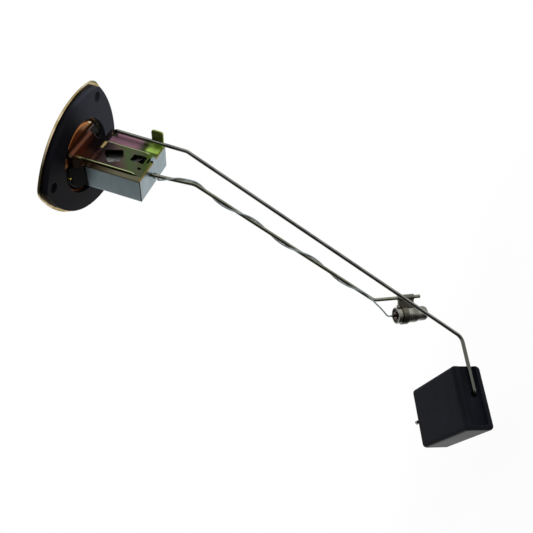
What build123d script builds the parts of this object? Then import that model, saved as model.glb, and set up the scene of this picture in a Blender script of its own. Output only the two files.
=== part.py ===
from build123d import *
import math
import os

# Fuel level sender for a tank top: a three-hole flange, a sheet bracket with the resistor housing,
# a swinging wire arm with a block float, and a fixed rod that carries the low-fuel sensor.
# Millimetres. The origin is the centre of the bolt circle on the gasket's sealing face.
# +Z points out of the tank, so all that hangs inside the tank is below Z = 0.

# Flange plate and gasket
HOLE_CIRCLE_R = 35.0        # screws on a 70 mm circle
HOLE_R = 3.0                # for M5 screws
HOLE_START = 66.7           # angle of the first screw hole from +X, degrees
CORNER_R = 8.4              # round of each corner, about its screw
SIDE_R = 60.0               # bow of each side
PLATE_T = 1.6
RIM_CHAMFER = 0.4
GASKET_T = 3.5
GASKET_CORNER_R = 5.9
GASKET_SIDE_R = 53.5
GASKET_BORE_R = 22.8
BOSS_DEPTH = 2.0            # the plate's centre is pressed this far towards the tank
BOSS_FLAT_R = 19.2
BOSS_SHOULDER_R = 20.2
BOSS_ROOT_R = 21.9
PLATE_IN_Z = GASKET_T
PLATE_OUT_Z = GASKET_T + PLATE_T
BOSS_IN_Z = PLATE_IN_Z - BOSS_DEPTH
BOSS_OUT_Z = BOSS_IN_Z + PLATE_T
PIP = (-18.4, 4.0)          # pressed pip that keeps the inner insulator from turning
PIP_R = 1.0
PIP_HEIGHT = 0.8

# Resistor housing, a folded tray that opens towards -Y
HOUSING_HALF_W = 17.4
HOUSING_TOP_Z = -8.5
HOUSING_END_Z = -43.9
HOUSING_RIM_Y = -9.3
HOUSING_BACK_Y = 6.0
HOUSING_T = 0.8
HOUSING_BEND_R = 0.9
TONGUE_X = (0.4, 3.6)
TONGUE_END_Z = -42.0

# Bracket: foot on the boss, neck, cover over the housing with a raised panel, stop tab
BRACKET_T = 1.0
COVER_Y = HOUSING_RIM_Y - BRACKET_T      # outer face of the cover's margins
PANEL_RISE = 1.1
PANEL_Y = COVER_Y - PANEL_RISE
PANEL_X = (-13.6, 5.9)
RAMP_Z = (-36.5, -41.3)     # the panel sinks back to the margin between these
FOOT_IN_Z = BOSS_IN_Z - BRACKET_T
FOOT_X = (-17.2, 13.4)
FOOT_FRONT_Y = -14.4
FOOT_CLIP_R = 20.4
FOOT_BEND_R = 2.2
NECK_FLARE = 3.0            # the neck widens by this on each side towards the foot
NECK_FLARE_Z = (-6.4, -1.6)
LIP_DEPTH = 7.0
TAB_Z = (-42.9, -35.6)
TAB_TOP_Y = -19.3
TAB_BEND_R = 2.4
WINDOW_CARD = ((-2.0, -14.5), (2.2, -24.4), (-3.4, -27.2), (-7.7, -26.8), (-10.9, -21.7), (-7.7, -17.8))
WINDOW_END = ((1.3, -31.8), (2.1, -39.4), (-4.1, -39.5), (-4.4, -31.4))
SLOT_END = ((-1.9, 2.5), (-41.6, -40.6))
SLOT_NEAR = ((-9.2, -7.4), (-40.4, -38.3))

# Float arm, one bent wire
WIRE_R = 1.15
PIVOT_X = 14.4
PIVOT_Z = -12.5
ARM_Y = -12.9
ARM_KNEE = Vector(14.2, ARM_Y, -59.0)
ARM_ELBOW = Vector(-6.5, 49.8, -246.8)
FLOAT_ENTRY = Vector(-38.2, 56.0, -260.0)
ARM_BEND_R = 6.0
SHAFT_END_Y = 8.4
PIVOT_CLEARANCE = 0.05
BUSH_R = 1.83
BUSH_FLANGE_R = 2.1

# Float block, held by the wire that runs through its length
FLOAT_LENGTH = 55.0
FLOAT_THICKNESS = 18.6
FLOAT_HEIGHT = 37.7
FLOAT_EDGE_R = 2.6
ENTRY_ACROSS = 0.617        # wire entry, as a share of the thickness
ENTRY_DOWN = 0.448          # wire entry, as a share of the height
ENTRY_INSET = 1.3           # the wire lies this deep in the channel
ENTRY_BEND_R = 2.4
CHANNEL_ACROSS = (0.22, 0.80)
CHANNEL_DEPTH = 2.6
CHANNEL_SHARE = 0.93        # share of the height that the channel runs
TAIL_LENGTH = 12.0
TAIL_BEND_R = 2.2

# Resistor card and wiper, about the pivot
CARD_R = (15.0, 25.5)
CARD_ANGLES = (3.0, 92.0)
CARD_Y = (-7.4, -6.0)
CARD_EAR_R = 2.1
RIVET_AT_R = 20.2
RIVET_ANGLES = (0.0, 90.0)
RIVET_R = 0.9
RIVET_HEAD_R = 1.3
RIVET_HEAD_T = 0.3
WINDING_ANGLES = (7.0, 84.0)
WINDING_T = 0.5
WINDING_GROOVES = 22
WIPER_REST = 8.0
WIPER_REACH = 20.5
WIPER_Y = (-4.8, -4.4)

# Low-fuel sensor: rod, lead wound round it, can in a clip
ROD_BEND = Vector(-1.3, -4.4, -70.3)
ROD_EXIT = Vector(-4.0, -4.4, HOUSING_END_Z)
ROD_ELBOW = Vector(-2.0, 47.7, -189.8)
CAN_AXIS = Vector(0.49, 0.05, -0.87).normalized()
ROD_TIP = ROD_ELBOW + CAN_AXIS * 31.3
LEAD_R = 0.5
LEAD_SIDES = 6
LEAD_GAP = 0.17
LEAD_EXIT = Vector(0.6, 0.2, HOUSING_END_Z)
LEAD_SIDE = Vector(0.8505, -0.4804, -0.2146)
LEAD_START = ((-21.5, -2.6, 0.6), (-16.5, -1.1, -1.95), (-11.5, 1.3, -1.65), (-5.5, 1.8, -0.6), (0.2, 1.82, 0.1))
LEAD_STEP = 4.55
LEAD_LAST_TURN = 119.0
CAN_R = 5.2
CAN_LENGTH = 21.0
CAN_OFFSET = 11.0
CAN_SIDE = Vector(-0.8, 0.6, 0.0)
CLIP_T = 0.7
CLIP_WIDTH = 10.5

# Terminals, their insulator and the plug socket on the outside
BLOCK_HALF_X = 8.6
BLOCK_Y = (-9.8, 15.0)
BLOCK_TOP_Z = 17.6
BLOCK_FLOOR_Z = 9.0
BLOCK_WALL = 1.8
BLADES = {"signal": (-5.2, 2.5), "warning": (5.2, 2.5)}
BLADE_T = 0.8
BLADE_W = 6.3
SHANK_R = 0.84
SHANK_END_Z = -3.2
SPIGOT_R = 2.36
SLEEVE_R = 2.2
SLEEVE_BORE_R = 1.75
SLEEVE_END_Z = -10.2
INSULATOR_R = 19.0
INSULATOR_IN_Z = 0.4
EARTH_X = (7.3, 8.1)
EARTH_TIP = (-19.6, 18.2)   # Y and Z of the earth blade's outer corner


def span_box(x, y, z):
    """Box from its low and high values along each axis."""
    size = [abs(pair[1] - pair[0]) for pair in (x, y, z)]
    middle = [(pair[0] + pair[1]) / 2 for pair in (x, y, z)]
    return Pos(*middle) * Box(*size)


def cylinder_between(start, end, radius):
    """Round bar between two points."""
    run = end - start
    plane = Plane(origin=start, z_dir=run.normalized())
    return extrude(plane * Circle(radius), amount=run.length)


def y_cylinder(x, z, y, radius):
    """Round bar along Y between two Y values."""
    return cylinder_between(Vector(x, y[0], z), Vector(x, y[1], z), radius)


def bent_bar(points, radii, section):
    """Bar of a section along straight runs that are joined by tangent arcs."""
    path = FilletPolyline(*points, radius=radii)
    return sweep(Plane(origin=path @ 0, z_dir=path % 0) * section, path=path)


def front_face(points, y):
    """Face seen from the front at a Y value; points are X and Z, and it extrudes towards +Y."""
    plane = Plane(origin=(0, y, 0), x_dir=(1, 0, 0), z_dir=(0, 1, 0))
    # the plane's second direction is -Z
    return plane * make_face(Polyline(*[(x, -z) for x, z in points], close=True))


def polar(radius, angle):
    """Point in the XY plane."""
    turn = math.radians(angle)
    return Vector(radius * math.cos(turn), radius * math.sin(turn))


def about_pivot(radius, angle, y):
    """Point at a radius and an angle from the arm's direction, turned towards -X."""
    turn = math.radians(angle)
    return Vector(PIVOT_X - radius * math.sin(turn), y, PIVOT_Z - radius * math.cos(turn))


def rounded_triangle(corner_r, side_r):
    """Three corner arcs about the screws, joined by bowed sides that meet them tangentially."""
    edges = []
    half_chord = HOLE_CIRCLE_R * math.sin(math.radians(60))
    apothem = HOLE_CIRCLE_R / 2
    reach = math.sqrt((side_r - corner_r) ** 2 - half_chord ** 2)
    for k in range(3):
        start = polar(HOLE_CIRCLE_R, HOLE_START + 120 * k)
        end = polar(HOLE_CIRCLE_R, HOLE_START + 120 * (k + 1))
        side_centre = polar(apothem - reach, HOLE_START + 120 * k + 60)
        next_centre = polar(apothem - reach, HOLE_START + 120 * k + 180)
        side_from = start + (start - side_centre).normalized() * corner_r
        side_to = end + (end - side_centre).normalized() * corner_r
        side_mid = side_centre + polar(side_r, HOLE_START + 120 * k + 60)
        corner_to = end + (end - next_centre).normalized() * corner_r
        corner_mid = polar(HOLE_CIRCLE_R + corner_r, HOLE_START + 120 * (k + 1))
        edges.append(ThreePointArc(side_from, side_mid, side_to))
        edges.append(ThreePointArc(side_to, corner_mid, corner_to))
    return make_face(edges)


def screw_holes(z):
    """The three screw holes as cutting bars."""
    cutters = []
    for k in range(3):
        centre = polar(HOLE_CIRCLE_R, HOLE_START + 120 * k)
        cutters.append(cylinder_between(centre + Vector(0, 0, z[0]), centre + Vector(0, 0, z[1]), HOLE_R))
    return cutters


def flange_plate():
    """Stamped plate with a round boss pressed towards the tank."""
    plate = Pos(0, 0, PLATE_IN_Z) * extrude(rounded_triangle(CORNER_R, SIDE_R), amount=PLATE_T)
    plate = chamfer(plate.edges().group_by(Axis.Z)[-1], RIM_CHAMFER)
    plate -= Pos(0, 0, PLATE_IN_Z) * Cylinder(BOSS_ROOT_R - 0.5, 4 * PLATE_T)
    slope = BOSS_ROOT_R - BOSS_FLAT_R
    wall = PLATE_T * 0.8
    profile = Polyline(
        (0, BOSS_IN_Z), (BOSS_FLAT_R, BOSS_IN_Z), (BOSS_SHOULDER_R, BOSS_IN_Z + 0.35), (BOSS_ROOT_R, PLATE_IN_Z),
        (BOSS_ROOT_R, PLATE_OUT_Z), (BOSS_ROOT_R - wall, PLATE_OUT_Z), (BOSS_ROOT_R - wall - slope, BOSS_OUT_Z),
        (0, BOSS_OUT_Z), close=True)
    plate += revolve(Plane.XZ * make_face(profile), Axis.Z)
    plate += Pos(*PIP, BOSS_IN_Z - PIP_HEIGHT / 2) * Cylinder(PIP_R, PIP_HEIGHT)
    for cutter in screw_holes((PLATE_IN_Z - 1, PLATE_OUT_Z + 1)):
        plate -= cutter
    for x, y in BLADES.values():
        plate -= Pos(x, y, BOSS_IN_Z) * Cylinder(SPIGOT_R + 0.04, 4 * PLATE_T)
    return plate


def flange_gasket():
    """Thick cut rubber with the plate's outline and one round opening."""
    ring = extrude(rounded_triangle(GASKET_CORNER_R, GASKET_SIDE_R), amount=GASKET_T)
    ring -= Pos(0, 0, GASKET_T / 2) * Cylinder(GASKET_BORE_R, 2 * GASKET_T)
    for cutter in screw_holes((-1, GASKET_T + 1)):
        ring -= cutter
    return ring


def neck_outline(inset, z):
    """Front view of the neck, flared towards the foot, between two Z values."""
    near = PANEL_X[0] + inset
    far = PANEL_X[1] - inset
    return [(near, z[0]), (near, NECK_FLARE_Z[0]), (near - NECK_FLARE, NECK_FLARE_Z[1]), (near - NECK_FLARE, z[1]),
            (far + NECK_FLARE, z[1]), (far + NECK_FLARE, NECK_FLARE_Z[1]), (far, NECK_FLARE_Z[0]), (far, z[0])]


def neck():
    """Neck with its two edges turned back as deep lips that stand on the boss."""
    outer = front_face(neck_outline(0.0, (HOUSING_TOP_Z + 0.1, BOSS_IN_Z)), PANEL_Y)
    kinks = outer.vertices().filter_by(lambda v: any(abs(v.Z - z) < 0.01 for z in NECK_FLARE_Z))
    body = extrude(fillet(kinks, 3.0), amount=LIP_DEPTH)
    crests = body.edges().filter_by_position(Axis.Y, PANEL_Y - 0.01, PANEL_Y + 0.01)
    crests = crests.filter_by(lambda e: abs((e @ 0.5).Z - BOSS_IN_Z) > 0.01 and (e @ 0.5).Z > HOUSING_TOP_Z + 0.2)
    body = fillet(crests, 0.9)
    hollow = front_face(neck_outline(BRACKET_T, (HOUSING_TOP_Z - 1, BOSS_IN_Z + 1)), PANEL_Y + BRACKET_T)
    body -= extrude(hollow, amount=LIP_DEPTH)
    # the bend takes the web's place next to the boss
    side = NECK_FLARE - BRACKET_T
    return body - span_box((PANEL_X[0] - side, PANEL_X[1] + side), (PANEL_Y - 1, PANEL_Y + BRACKET_T + 1),
                           (FOOT_IN_Z - FOOT_BEND_R, BOSS_IN_Z + 1))


def foot():
    """Foot welded on the boss, bent outwards from the neck, with ends that follow the boss."""
    centre_y = PANEL_Y - FOOT_BEND_R
    centre_z = FOOT_IN_Z - FOOT_BEND_R
    outer_r = FOOT_BEND_R + BRACKET_T
    half = math.sqrt(0.5)
    profile = [
        Line((FOOT_FRONT_Y, FOOT_IN_Z), (centre_y, FOOT_IN_Z)),
        ThreePointArc((centre_y, FOOT_IN_Z), (centre_y + FOOT_BEND_R * half, centre_z + FOOT_BEND_R * half),
                      (PANEL_Y, centre_z)),
        Line((PANEL_Y, centre_z), (PANEL_Y, centre_z - 1)),
        Line((PANEL_Y, centre_z - 1), (PANEL_Y + BRACKET_T, centre_z - 1)),
        Line((PANEL_Y + BRACKET_T, centre_z - 1), (PANEL_Y + BRACKET_T, centre_z)),
        ThreePointArc((PANEL_Y + BRACKET_T, centre_z), (centre_y + outer_r * half, centre_z + outer_r * half),
                      (centre_y, BOSS_IN_Z)),
        Line((centre_y, BOSS_IN_Z), (FOOT_FRONT_Y, BOSS_IN_Z)),
        Line((FOOT_FRONT_Y, BOSS_IN_Z), (FOOT_FRONT_Y, FOOT_IN_Z)),
    ]
    side = NECK_FLARE - BRACKET_T / 2
    bend_x = (PANEL_X[0] - side, PANEL_X[1] + side)
    bend = Pos(bend_x[0], 0, 0) * extrude(Plane.YZ * make_face(profile), amount=bend_x[1] - bend_x[0])
    flat = span_box(FOOT_X, (FOOT_FRONT_Y, centre_y + 0.3), (FOOT_IN_Z, BOSS_IN_Z))
    return (bend + flat) & Pos(0, 0, centre_z) * Cylinder(FOOT_CLIP_R, 20)


def cover():
    """Flat cover on the housing's rim with the panel pressed up in its middle."""
    sheet = span_box((-HOUSING_HALF_W, HOUSING_HALF_W), (COVER_Y, HOUSING_RIM_Y), (HOUSING_END_Z, HOUSING_TOP_Z))
    corners = sheet.edges().filter_by(Axis.Y)
    sheet = fillet(corners.group_by(Axis.Z)[-1].group_by(Axis.X)[0], 2.2)
    sheet = fillet(sheet.edges().filter_by(Axis.Y).filter_by_position(Axis.Z, HOUSING_END_Z - 0.1, HOUSING_END_Z + 0.1),
                   0.8)
    side_view = Polyline(
        (PANEL_Y, HOUSING_TOP_Z - 0.4), (PANEL_Y, RAMP_Z[0]), (COVER_Y, RAMP_Z[1]),
        (COVER_Y + 0.2, RAMP_Z[1]), (COVER_Y + 0.2, HOUSING_TOP_Z), (PANEL_Y, HOUSING_TOP_Z), close=True)
    panel = Pos(PANEL_X[0], 0, 0) * extrude(Plane.YZ * make_face(side_view), amount=PANEL_X[1] - PANEL_X[0])
    crests = panel.edges().filter_by(Axis.Z).filter_by_position(Axis.Y, PANEL_Y - 0.05, PANEL_Y + 0.05)
    panel = fillet(crests, 0.5)
    return sheet + panel


def stop_tab():
    """Tab turned up at the far edge, where the arm comes to rest when the tank is empty."""
    far = HOUSING_HALF_W
    near = far - BRACKET_T
    tab = span_box((near, far), (TAB_TOP_Y, COVER_Y + 0.3), TAB_Z)
    tab = fillet(tab.edges().filter_by(Axis.X).group_by(Axis.Y)[0], 1.5)
    half = math.sqrt(0.5)
    centre = (near - TAB_BEND_R, COVER_Y - TAB_BEND_R)
    web = [
        Line((near + 0.2, COVER_Y + 0.2), (near + 0.2, centre[1])),
        Line((near + 0.2, centre[1]), (near, centre[1])),
        ThreePointArc((near, centre[1]), (centre[0] + TAB_BEND_R * half, centre[1] + TAB_BEND_R * half),
                      (centre[0], COVER_Y)),
        Line((centre[0], COVER_Y), (centre[0], COVER_Y + 0.2)),
        Line((centre[0], COVER_Y + 0.2), (near + 0.2, COVER_Y + 0.2)),
    ]
    return tab + Pos(0, 0, TAB_Z[0]) * extrude(make_face(web), amount=TAB_Z[1] - TAB_Z[0])


def opening(points, radius):
    """Pressed-out opening through the cover; points are X and Z."""
    face = front_face(points, PANEL_Y - 1)
    return extrude(fillet(face.vertices(), radius), amount=3 * BRACKET_T + PANEL_RISE)


def support_bracket():
    """One folded sheet: foot, neck with lips, cover with its raised panel, and stop tab."""
    web = span_box(PANEL_X, (PANEL_Y, PANEL_Y + BRACKET_T), (HOUSING_TOP_Z - 1, HOUSING_TOP_Z + 1))
    bracket = cover() + neck() + foot() + web + stop_tab()
    bracket -= span_box((PANEL_X[0] + BRACKET_T, PANEL_X[1] - BRACKET_T),
                        (PANEL_Y + BRACKET_T, HOUSING_RIM_Y + 0.2), (RAMP_Z[0] - 0.5, HOUSING_TOP_Z + 0.05))
    bracket -= opening(WINDOW_CARD, 1.2)
    bracket -= opening(WINDOW_END, 0.7)
    for x, z in (SLOT_END, SLOT_NEAR):
        bracket -= span_box(x, (PANEL_Y - 1, 0), z)
    bracket -= y_cylinder(PIVOT_X, PIVOT_Z, (COVER_Y - 1, HOUSING_RIM_Y + 1), BUSH_R + 0.02)
    bracket -= span_box((TONGUE_X[0] - 0.2, TONGUE_X[1] + 0.2), (COVER_Y - 1, HOUSING_RIM_Y + 1),
                        (HOUSING_END_Z - 1, HOUSING_END_Z + HOUSING_T))
    for angle in RIVET_ANGLES:
        place = about_pivot(RIVET_AT_R, angle, 0)
        bracket -= y_cylinder(place.X, place.Z, (PANEL_Y - 1, HOUSING_RIM_Y + 1), RIVET_R + 0.02)
    return bracket


def resistor_housing():
    """Folded tray with an open corner seam and a tongue that holds the cover's end."""
    shell = span_box((-HOUSING_HALF_W, HOUSING_HALF_W), (HOUSING_RIM_Y, HOUSING_BACK_Y),
                     (HOUSING_END_Z, HOUSING_TOP_Z))
    bends = shell.edges().filter_by(Axis.Y).group_by(Axis.Z)
    shell = fillet(list(bends[-1]) + list(bends[0].group_by(Axis.X)[-1]), HOUSING_BEND_R)
    shell = fillet(shell.edges().group_by(Axis.Y)[-1], HOUSING_BEND_R)
    inner = span_box((-HOUSING_HALF_W + HOUSING_T, HOUSING_HALF_W - HOUSING_T),
                     (HOUSING_RIM_Y - 1, HOUSING_BACK_Y - HOUSING_T),
                     (HOUSING_END_Z + HOUSING_T, HOUSING_TOP_Z - HOUSING_T))
    shell -= inner
    # open seam along the near corner, where the end wall meets the side
    shell -= span_box((-HOUSING_HALF_W - 1, -HOUSING_HALF_W + 0.35), (HOUSING_RIM_Y - 1, HOUSING_BACK_Y - 1.2),
                      (HOUSING_END_Z - 1, HOUSING_END_Z + 0.35))
    shell += span_box(TONGUE_X, (COVER_Y - HOUSING_T, HOUSING_RIM_Y + 0.5),
                      (HOUSING_END_Z, HOUSING_END_Z + HOUSING_T - 0.1))
    shell += span_box(TONGUE_X, (COVER_Y - HOUSING_T, COVER_Y), (HOUSING_END_Z, TONGUE_END_Z))
    shell -= y_cylinder(PIVOT_X, PIVOT_Z, (HOUSING_BACK_Y - 2, HOUSING_BACK_Y + 1), BUSH_R + 0.02)
    shell -= cylinder_between(ROD_EXIT + Vector(0, 0, 2), ROD_EXIT - Vector(0, 0, 2), WIRE_R + 0.25)
    shell -= cylinder_between(LEAD_EXIT + Vector(0, 0, 2), LEAD_EXIT - Vector(0, 0, 2), 1.22)
    for x, y in BLADES.values():
        shell -= Pos(x, y, HOUSING_TOP_Z) * Cylinder(SLEEVE_R + 0.1, 4)
    return shell


def sector(radii, angles, y, ear_r=0.0):
    """Flat curved band about the pivot, with a round ear at each rivet where an ear radius is given."""
    middle = sum(angles) / 2
    outer = [about_pivot(radii[1], a, y[0]) for a in (angles[0], middle, angles[1])]
    inner = [about_pivot(radii[0], a, y[0]) for a in (angles[1], middle, angles[0])]
    edges = [ThreePointArc(*outer), Line(outer[2], inner[0]), ThreePointArc(*inner), Line(inner[2], outer[0])]
    band = extrude(make_face(edges), amount=y[1] - y[0], dir=(0, 1, 0))
    if ear_r:
        for angle in RIVET_ANGLES:
            place = about_pivot(RIVET_AT_R, angle, 0)
            band += y_cylinder(place.X, place.Z, y, ear_r)
    return band


def resistor_card():
    """Curved insulating card about the pivot, with an ear at each end for its rivet."""
    card = sector(CARD_R, CARD_ANGLES, CARD_Y, CARD_EAR_R)
    for angle in RIVET_ANGLES:
        place = about_pivot(RIVET_AT_R, angle, 0)
        card -= y_cylinder(place.X, place.Z, (CARD_Y[0] - 1, CARD_Y[1] + 1), RIVET_R + 0.02)
    return card


def card_rivets():
    """Two rivets that hang the card under the cover, each with its hexagonal spacer."""
    rivets = []
    for angle, top in zip(RIVET_ANGLES, (COVER_Y, PANEL_Y)):
        place = about_pivot(RIVET_AT_R, angle, 0)
        rivet = y_cylinder(place.X, place.Z, (top - RIVET_HEAD_T, CARD_Y[1] + 0.5), RIVET_R)
        rivet += y_cylinder(place.X, place.Z, (top - RIVET_HEAD_T, top), RIVET_HEAD_R)
        rivet += y_cylinder(place.X, place.Z, (CARD_Y[1], CARD_Y[1] + 0.5), RIVET_HEAD_R)
        under = top + BRACKET_T
        plane = Plane(origin=(place.X, under, place.Z), z_dir=(0, 1, 0))
        rivet += extrude(plane * RegularPolygon(1.6, 6), amount=CARD_Y[0] - under)
        rivets.append(rivet)
    return Compound(children=rivets)


def resistance_winding():
    """Fine wire wound over the card, as one sleeve with a grooved front."""
    low = CARD_Y[0] - WINDING_T
    high = CARD_Y[1] + WINDING_T
    sleeve = sector((CARD_R[0] - WINDING_T, CARD_R[1] + WINDING_T), WINDING_ANGLES, (low, high))
    sleeve -= sector((CARD_R[0] - 0.02, CARD_R[1] + 0.02), (WINDING_ANGLES[0] - 2, WINDING_ANGLES[1] + 2),
                     (CARD_Y[0] - 0.02, CARD_Y[1] + 0.02))
    step = (WINDING_ANGLES[1] - WINDING_ANGLES[0]) / WINDING_GROOVES
    for k in range(1, WINDING_GROOVES):
        angle = WINDING_ANGLES[0] + step * k
        turn = math.radians(angle)
        outwards = Vector(-math.sin(turn), 0, -math.cos(turn))
        plane = Plane(origin=about_pivot(CARD_R[0] - 2, angle, low), x_dir=(-math.cos(turn), 0, math.sin(turn)),
                      z_dir=outwards)
        groove = make_face(Polyline((-0.45, -0.1), (0.45, -0.1), (0, 0.3), close=True))
        sleeve -= extrude(plane * groove, amount=CARD_R[1] - CARD_R[0] + 4)
    return sleeve


def pivot_bush(y, flange_y):
    """Flanged bush for the arm's shaft."""
    bush = y_cylinder(PIVOT_X, PIVOT_Z, y, BUSH_R) + y_cylinder(PIVOT_X, PIVOT_Z, flange_y, BUSH_FLANGE_R)
    return bush - y_cylinder(PIVOT_X, PIVOT_Z, (-20, 20), WIRE_R + PIVOT_CLEARANCE)


def float_frame():
    """Directions of the float: along its wire bore, across its thickness, and down its height."""
    down = (FLOAT_ENTRY - ARM_ELBOW).normalized()
    along = Vector(0.124, 0.977, 0.171)
    along = (along - down * along.dot(down)).normalized()
    across = down.cross(along)
    return along, across, down


def float_plane():
    """Plane at the corner of the float's entry face, X along the bore, Y across, Z down the height."""
    along, across, down = float_frame()
    corner = FLOAT_ENTRY - across * (ENTRY_ACROSS * FLOAT_THICKNESS) - down * (ENTRY_DOWN * FLOAT_HEIGHT)
    return Plane(origin=corner, x_dir=along, z_dir=down)


def float_arm():
    """Wire from the shaft's end over the knee and elbow, through the float, to the bent-over tail."""
    along, across, down = float_frame()
    bore_in = FLOAT_ENTRY + along * ENTRY_INSET
    bore_out = FLOAT_ENTRY + along * (FLOAT_LENGTH + 2.0)
    points = [
        Vector(PIVOT_X, SHAFT_END_Y, PIVOT_Z),
        Vector(PIVOT_X, ARM_Y, PIVOT_Z),
        ARM_KNEE,
        ARM_ELBOW + along * ENTRY_INSET,
        bore_in,
        bore_out,
        bore_out + (down * 0.35 - across * 0.93).normalized() * TAIL_LENGTH,
    ]
    return bent_bar(points, [ENTRY_BEND_R, ARM_BEND_R, ARM_BEND_R, ENTRY_BEND_R, TAIL_BEND_R], Circle(WIRE_R))


def float_block():
    """Foam block with a channel for the wire down its entry face and a bore along its length."""
    along, across, down = float_frame()
    place = float_plane()
    block = place * span_box((0, FLOAT_LENGTH), (0, FLOAT_THICKNESS), (0, FLOAT_HEIGHT))
    block = fillet(block.edges(), FLOAT_EDGE_R)
    channel_y = [share * FLOAT_THICKNESS for share in CHANNEL_ACROSS]
    channel = place * span_box((-1, CHANNEL_DEPTH), channel_y, (-1, FLOAT_HEIGHT * CHANNEL_SHARE))
    lower = channel.edges().filter_by(lambda edge: abs((edge % 0.5).dot(along)) > 0.99)
    channel = fillet(lower.sort_by(lambda edge: (edge @ 0.5).dot(down))[-2:], 2.0)
    block -= channel
    block -= cylinder_between(FLOAT_ENTRY - along, FLOAT_ENTRY + along * (FLOAT_LENGTH + 1), WIRE_R + 0.06)
    relief_end = ENTRY_INSET + ENTRY_BEND_R + 0.3
    return block - cylinder_between(FLOAT_ENTRY, FLOAT_ENTRY + along * relief_end, WIRE_R + 0.6)


def wiper_hub():
    """Moulded hub pressed on the shaft, with the arm that holds the leaf."""
    hub = y_cylinder(PIVOT_X, PIVOT_Z, (-4.9, 1.5), 1.95)
    hub += cylinder_between(about_pivot(0, 0, -3.4), about_pivot(5.0, WIPER_REST, -3.4), 1.0)
    return hub - y_cylinder(PIVOT_X, PIVOT_Z, (-6, 3), WIRE_R + 0.02)


def wiper_blade():
    """Spring leaf that tapers towards its contact."""
    turn = math.radians(WIPER_REST)
    ahead = Vector(-math.sin(turn), 0, -math.cos(turn))
    plane = Plane(origin=about_pivot(3.0, WIPER_REST, WIPER_Y[0]), x_dir=ahead, z_dir=(0, 1, 0))
    tip = WIPER_REACH - 3
    outline = Polyline((0, -1.8), (8, -1.8), (tip, -1.1), (tip, 1.1), (8, 1.8), (0, 1.8), close=True)
    leaf = extrude(plane * make_face(outline), amount=WIPER_Y[1] - WIPER_Y[0])
    return leaf - cylinder_between(about_pivot(0, 0, -3.4), about_pivot(6.0, WIPER_REST, -3.4), 1.02)


def wiper_contact():
    """Silver button at the leaf's end."""
    place = about_pivot(WIPER_REACH - 1.4, WIPER_REST, 0)
    return y_cylinder(place.X, place.Z, (WIPER_Y[0] - 0.45, WIPER_Y[0] - 0.02), 0.8)


def retaining_ring():
    """Push-on ring on the shaft's end."""
    ring = y_cylinder(PIVOT_X, PIVOT_Z, (7.2, 7.8), 2.9)
    return ring - y_cylinder(PIVOT_X, PIVOT_Z, (6, 9), WIRE_R + 0.02)


def sensor_rod():
    """Rod from the ferrule in the housing to the sensor, one bent wire."""
    start = ROD_EXIT + (ROD_EXIT - ROD_BEND).normalized() * 6.5
    return bent_bar([start, ROD_BEND, ROD_ELBOW, ROD_TIP], [8.0, 5.0], Circle(WIRE_R))


def rod_ferrule():
    """Hexagonal sleeve inside the end wall that grips the rod."""
    back = (ROD_EXIT - ROD_BEND).normalized()
    start = ROD_EXIT + back * (HOUSING_T + 0.35)
    ferrule = extrude(Plane(origin=start, z_dir=back) * RegularPolygon(2.4, 6), amount=5.0)
    return ferrule - cylinder_between(start - back, start + back * 7.0, WIRE_R + 0.02)


def rod_frame():
    """Directions of the rod's long run, and of the two sides the lead's lay is measured from."""
    run = (ROD_ELBOW - ROD_BEND).normalized()
    side = (LEAD_SIDE - run * LEAD_SIDE.dot(run)).normalized()
    return run, side, side.cross(run)


def beside_rod(distance, sideways, rearwards):
    """Point beside the rod, at a distance past its first bend (before it when negative)."""
    run, side, rear = rod_frame()
    reach = run if distance > 0 else (ROD_BEND - ROD_EXIT).normalized()
    return ROD_BEND + reach * distance + side * sideways + rear * rearwards


def lay_angle(distance):
    """Angle of the lead round the rod; the lay lengthens slowly along the rod."""
    return math.radians(8.953 * distance - 0.00495 * distance ** 2 - 4.0)


def can_place():
    """Plane at the centre of the can's lead end, Z along the can."""
    drop = (CAN_SIDE - CAN_AXIS * CAN_SIDE.dot(CAN_AXIS)).normalized()
    origin = ROD_ELBOW + CAN_AXIS * 14.3 + drop * CAN_OFFSET
    return Plane(origin=origin, x_dir=drop, z_dir=CAN_AXIS)


def smooth_radii(points):
    """Bend radii that leave only a short straight between neighbouring bends."""
    radii = []
    for before, here, after in zip(points, points[1:], points[2:]):
        turn = math.radians((here - before).get_angle(after - here))
        shorter = min((here - before).length, (after - here).length)
        radii.append(min(0.45 * shorter / math.tan(turn / 2), 60.0))
    return radii


def sensor_lead():
    """Lead from the warning terminal through the housing, round the rod in a left-hand lay, to the can."""
    x, y = BLADES["warning"]
    points = [Vector(x, y, SHANK_END_Z), Vector(x, y, -18.0), LEAD_EXIT + Vector(0, 0, 10), LEAD_EXIT - Vector(0, 0, 3.6)]
    for distance, sideways, rearwards in LEAD_START:
        points.append(beside_rod(distance, sideways, rearwards))
    offset = WIRE_R + LEAD_R + LEAD_GAP
    distance = 5.0
    while distance < LEAD_LAST_TURN:
        turn = lay_angle(distance)
        points.append(beside_rod(distance, offset * math.cos(turn), offset * math.sin(turn)))
        distance += LEAD_STEP
    points.append(beside_rod(LEAD_LAST_TURN + 4.5, 0.5, -1.85))
    points.append(beside_rod(LEAD_LAST_TURN + 11.0, -1.2, -2.3))
    place = can_place()
    points.append(place.origin - CAN_AXIS * 9.0 - place.x_dir * 4.6)
    points.append(place.origin - CAN_AXIS * 5.5)
    points.append(place.origin - CAN_AXIS * 2.4)
    return bent_bar(points, smooth_radii(points), RegularPolygon(LEAD_R, LEAD_SIDES))


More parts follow.
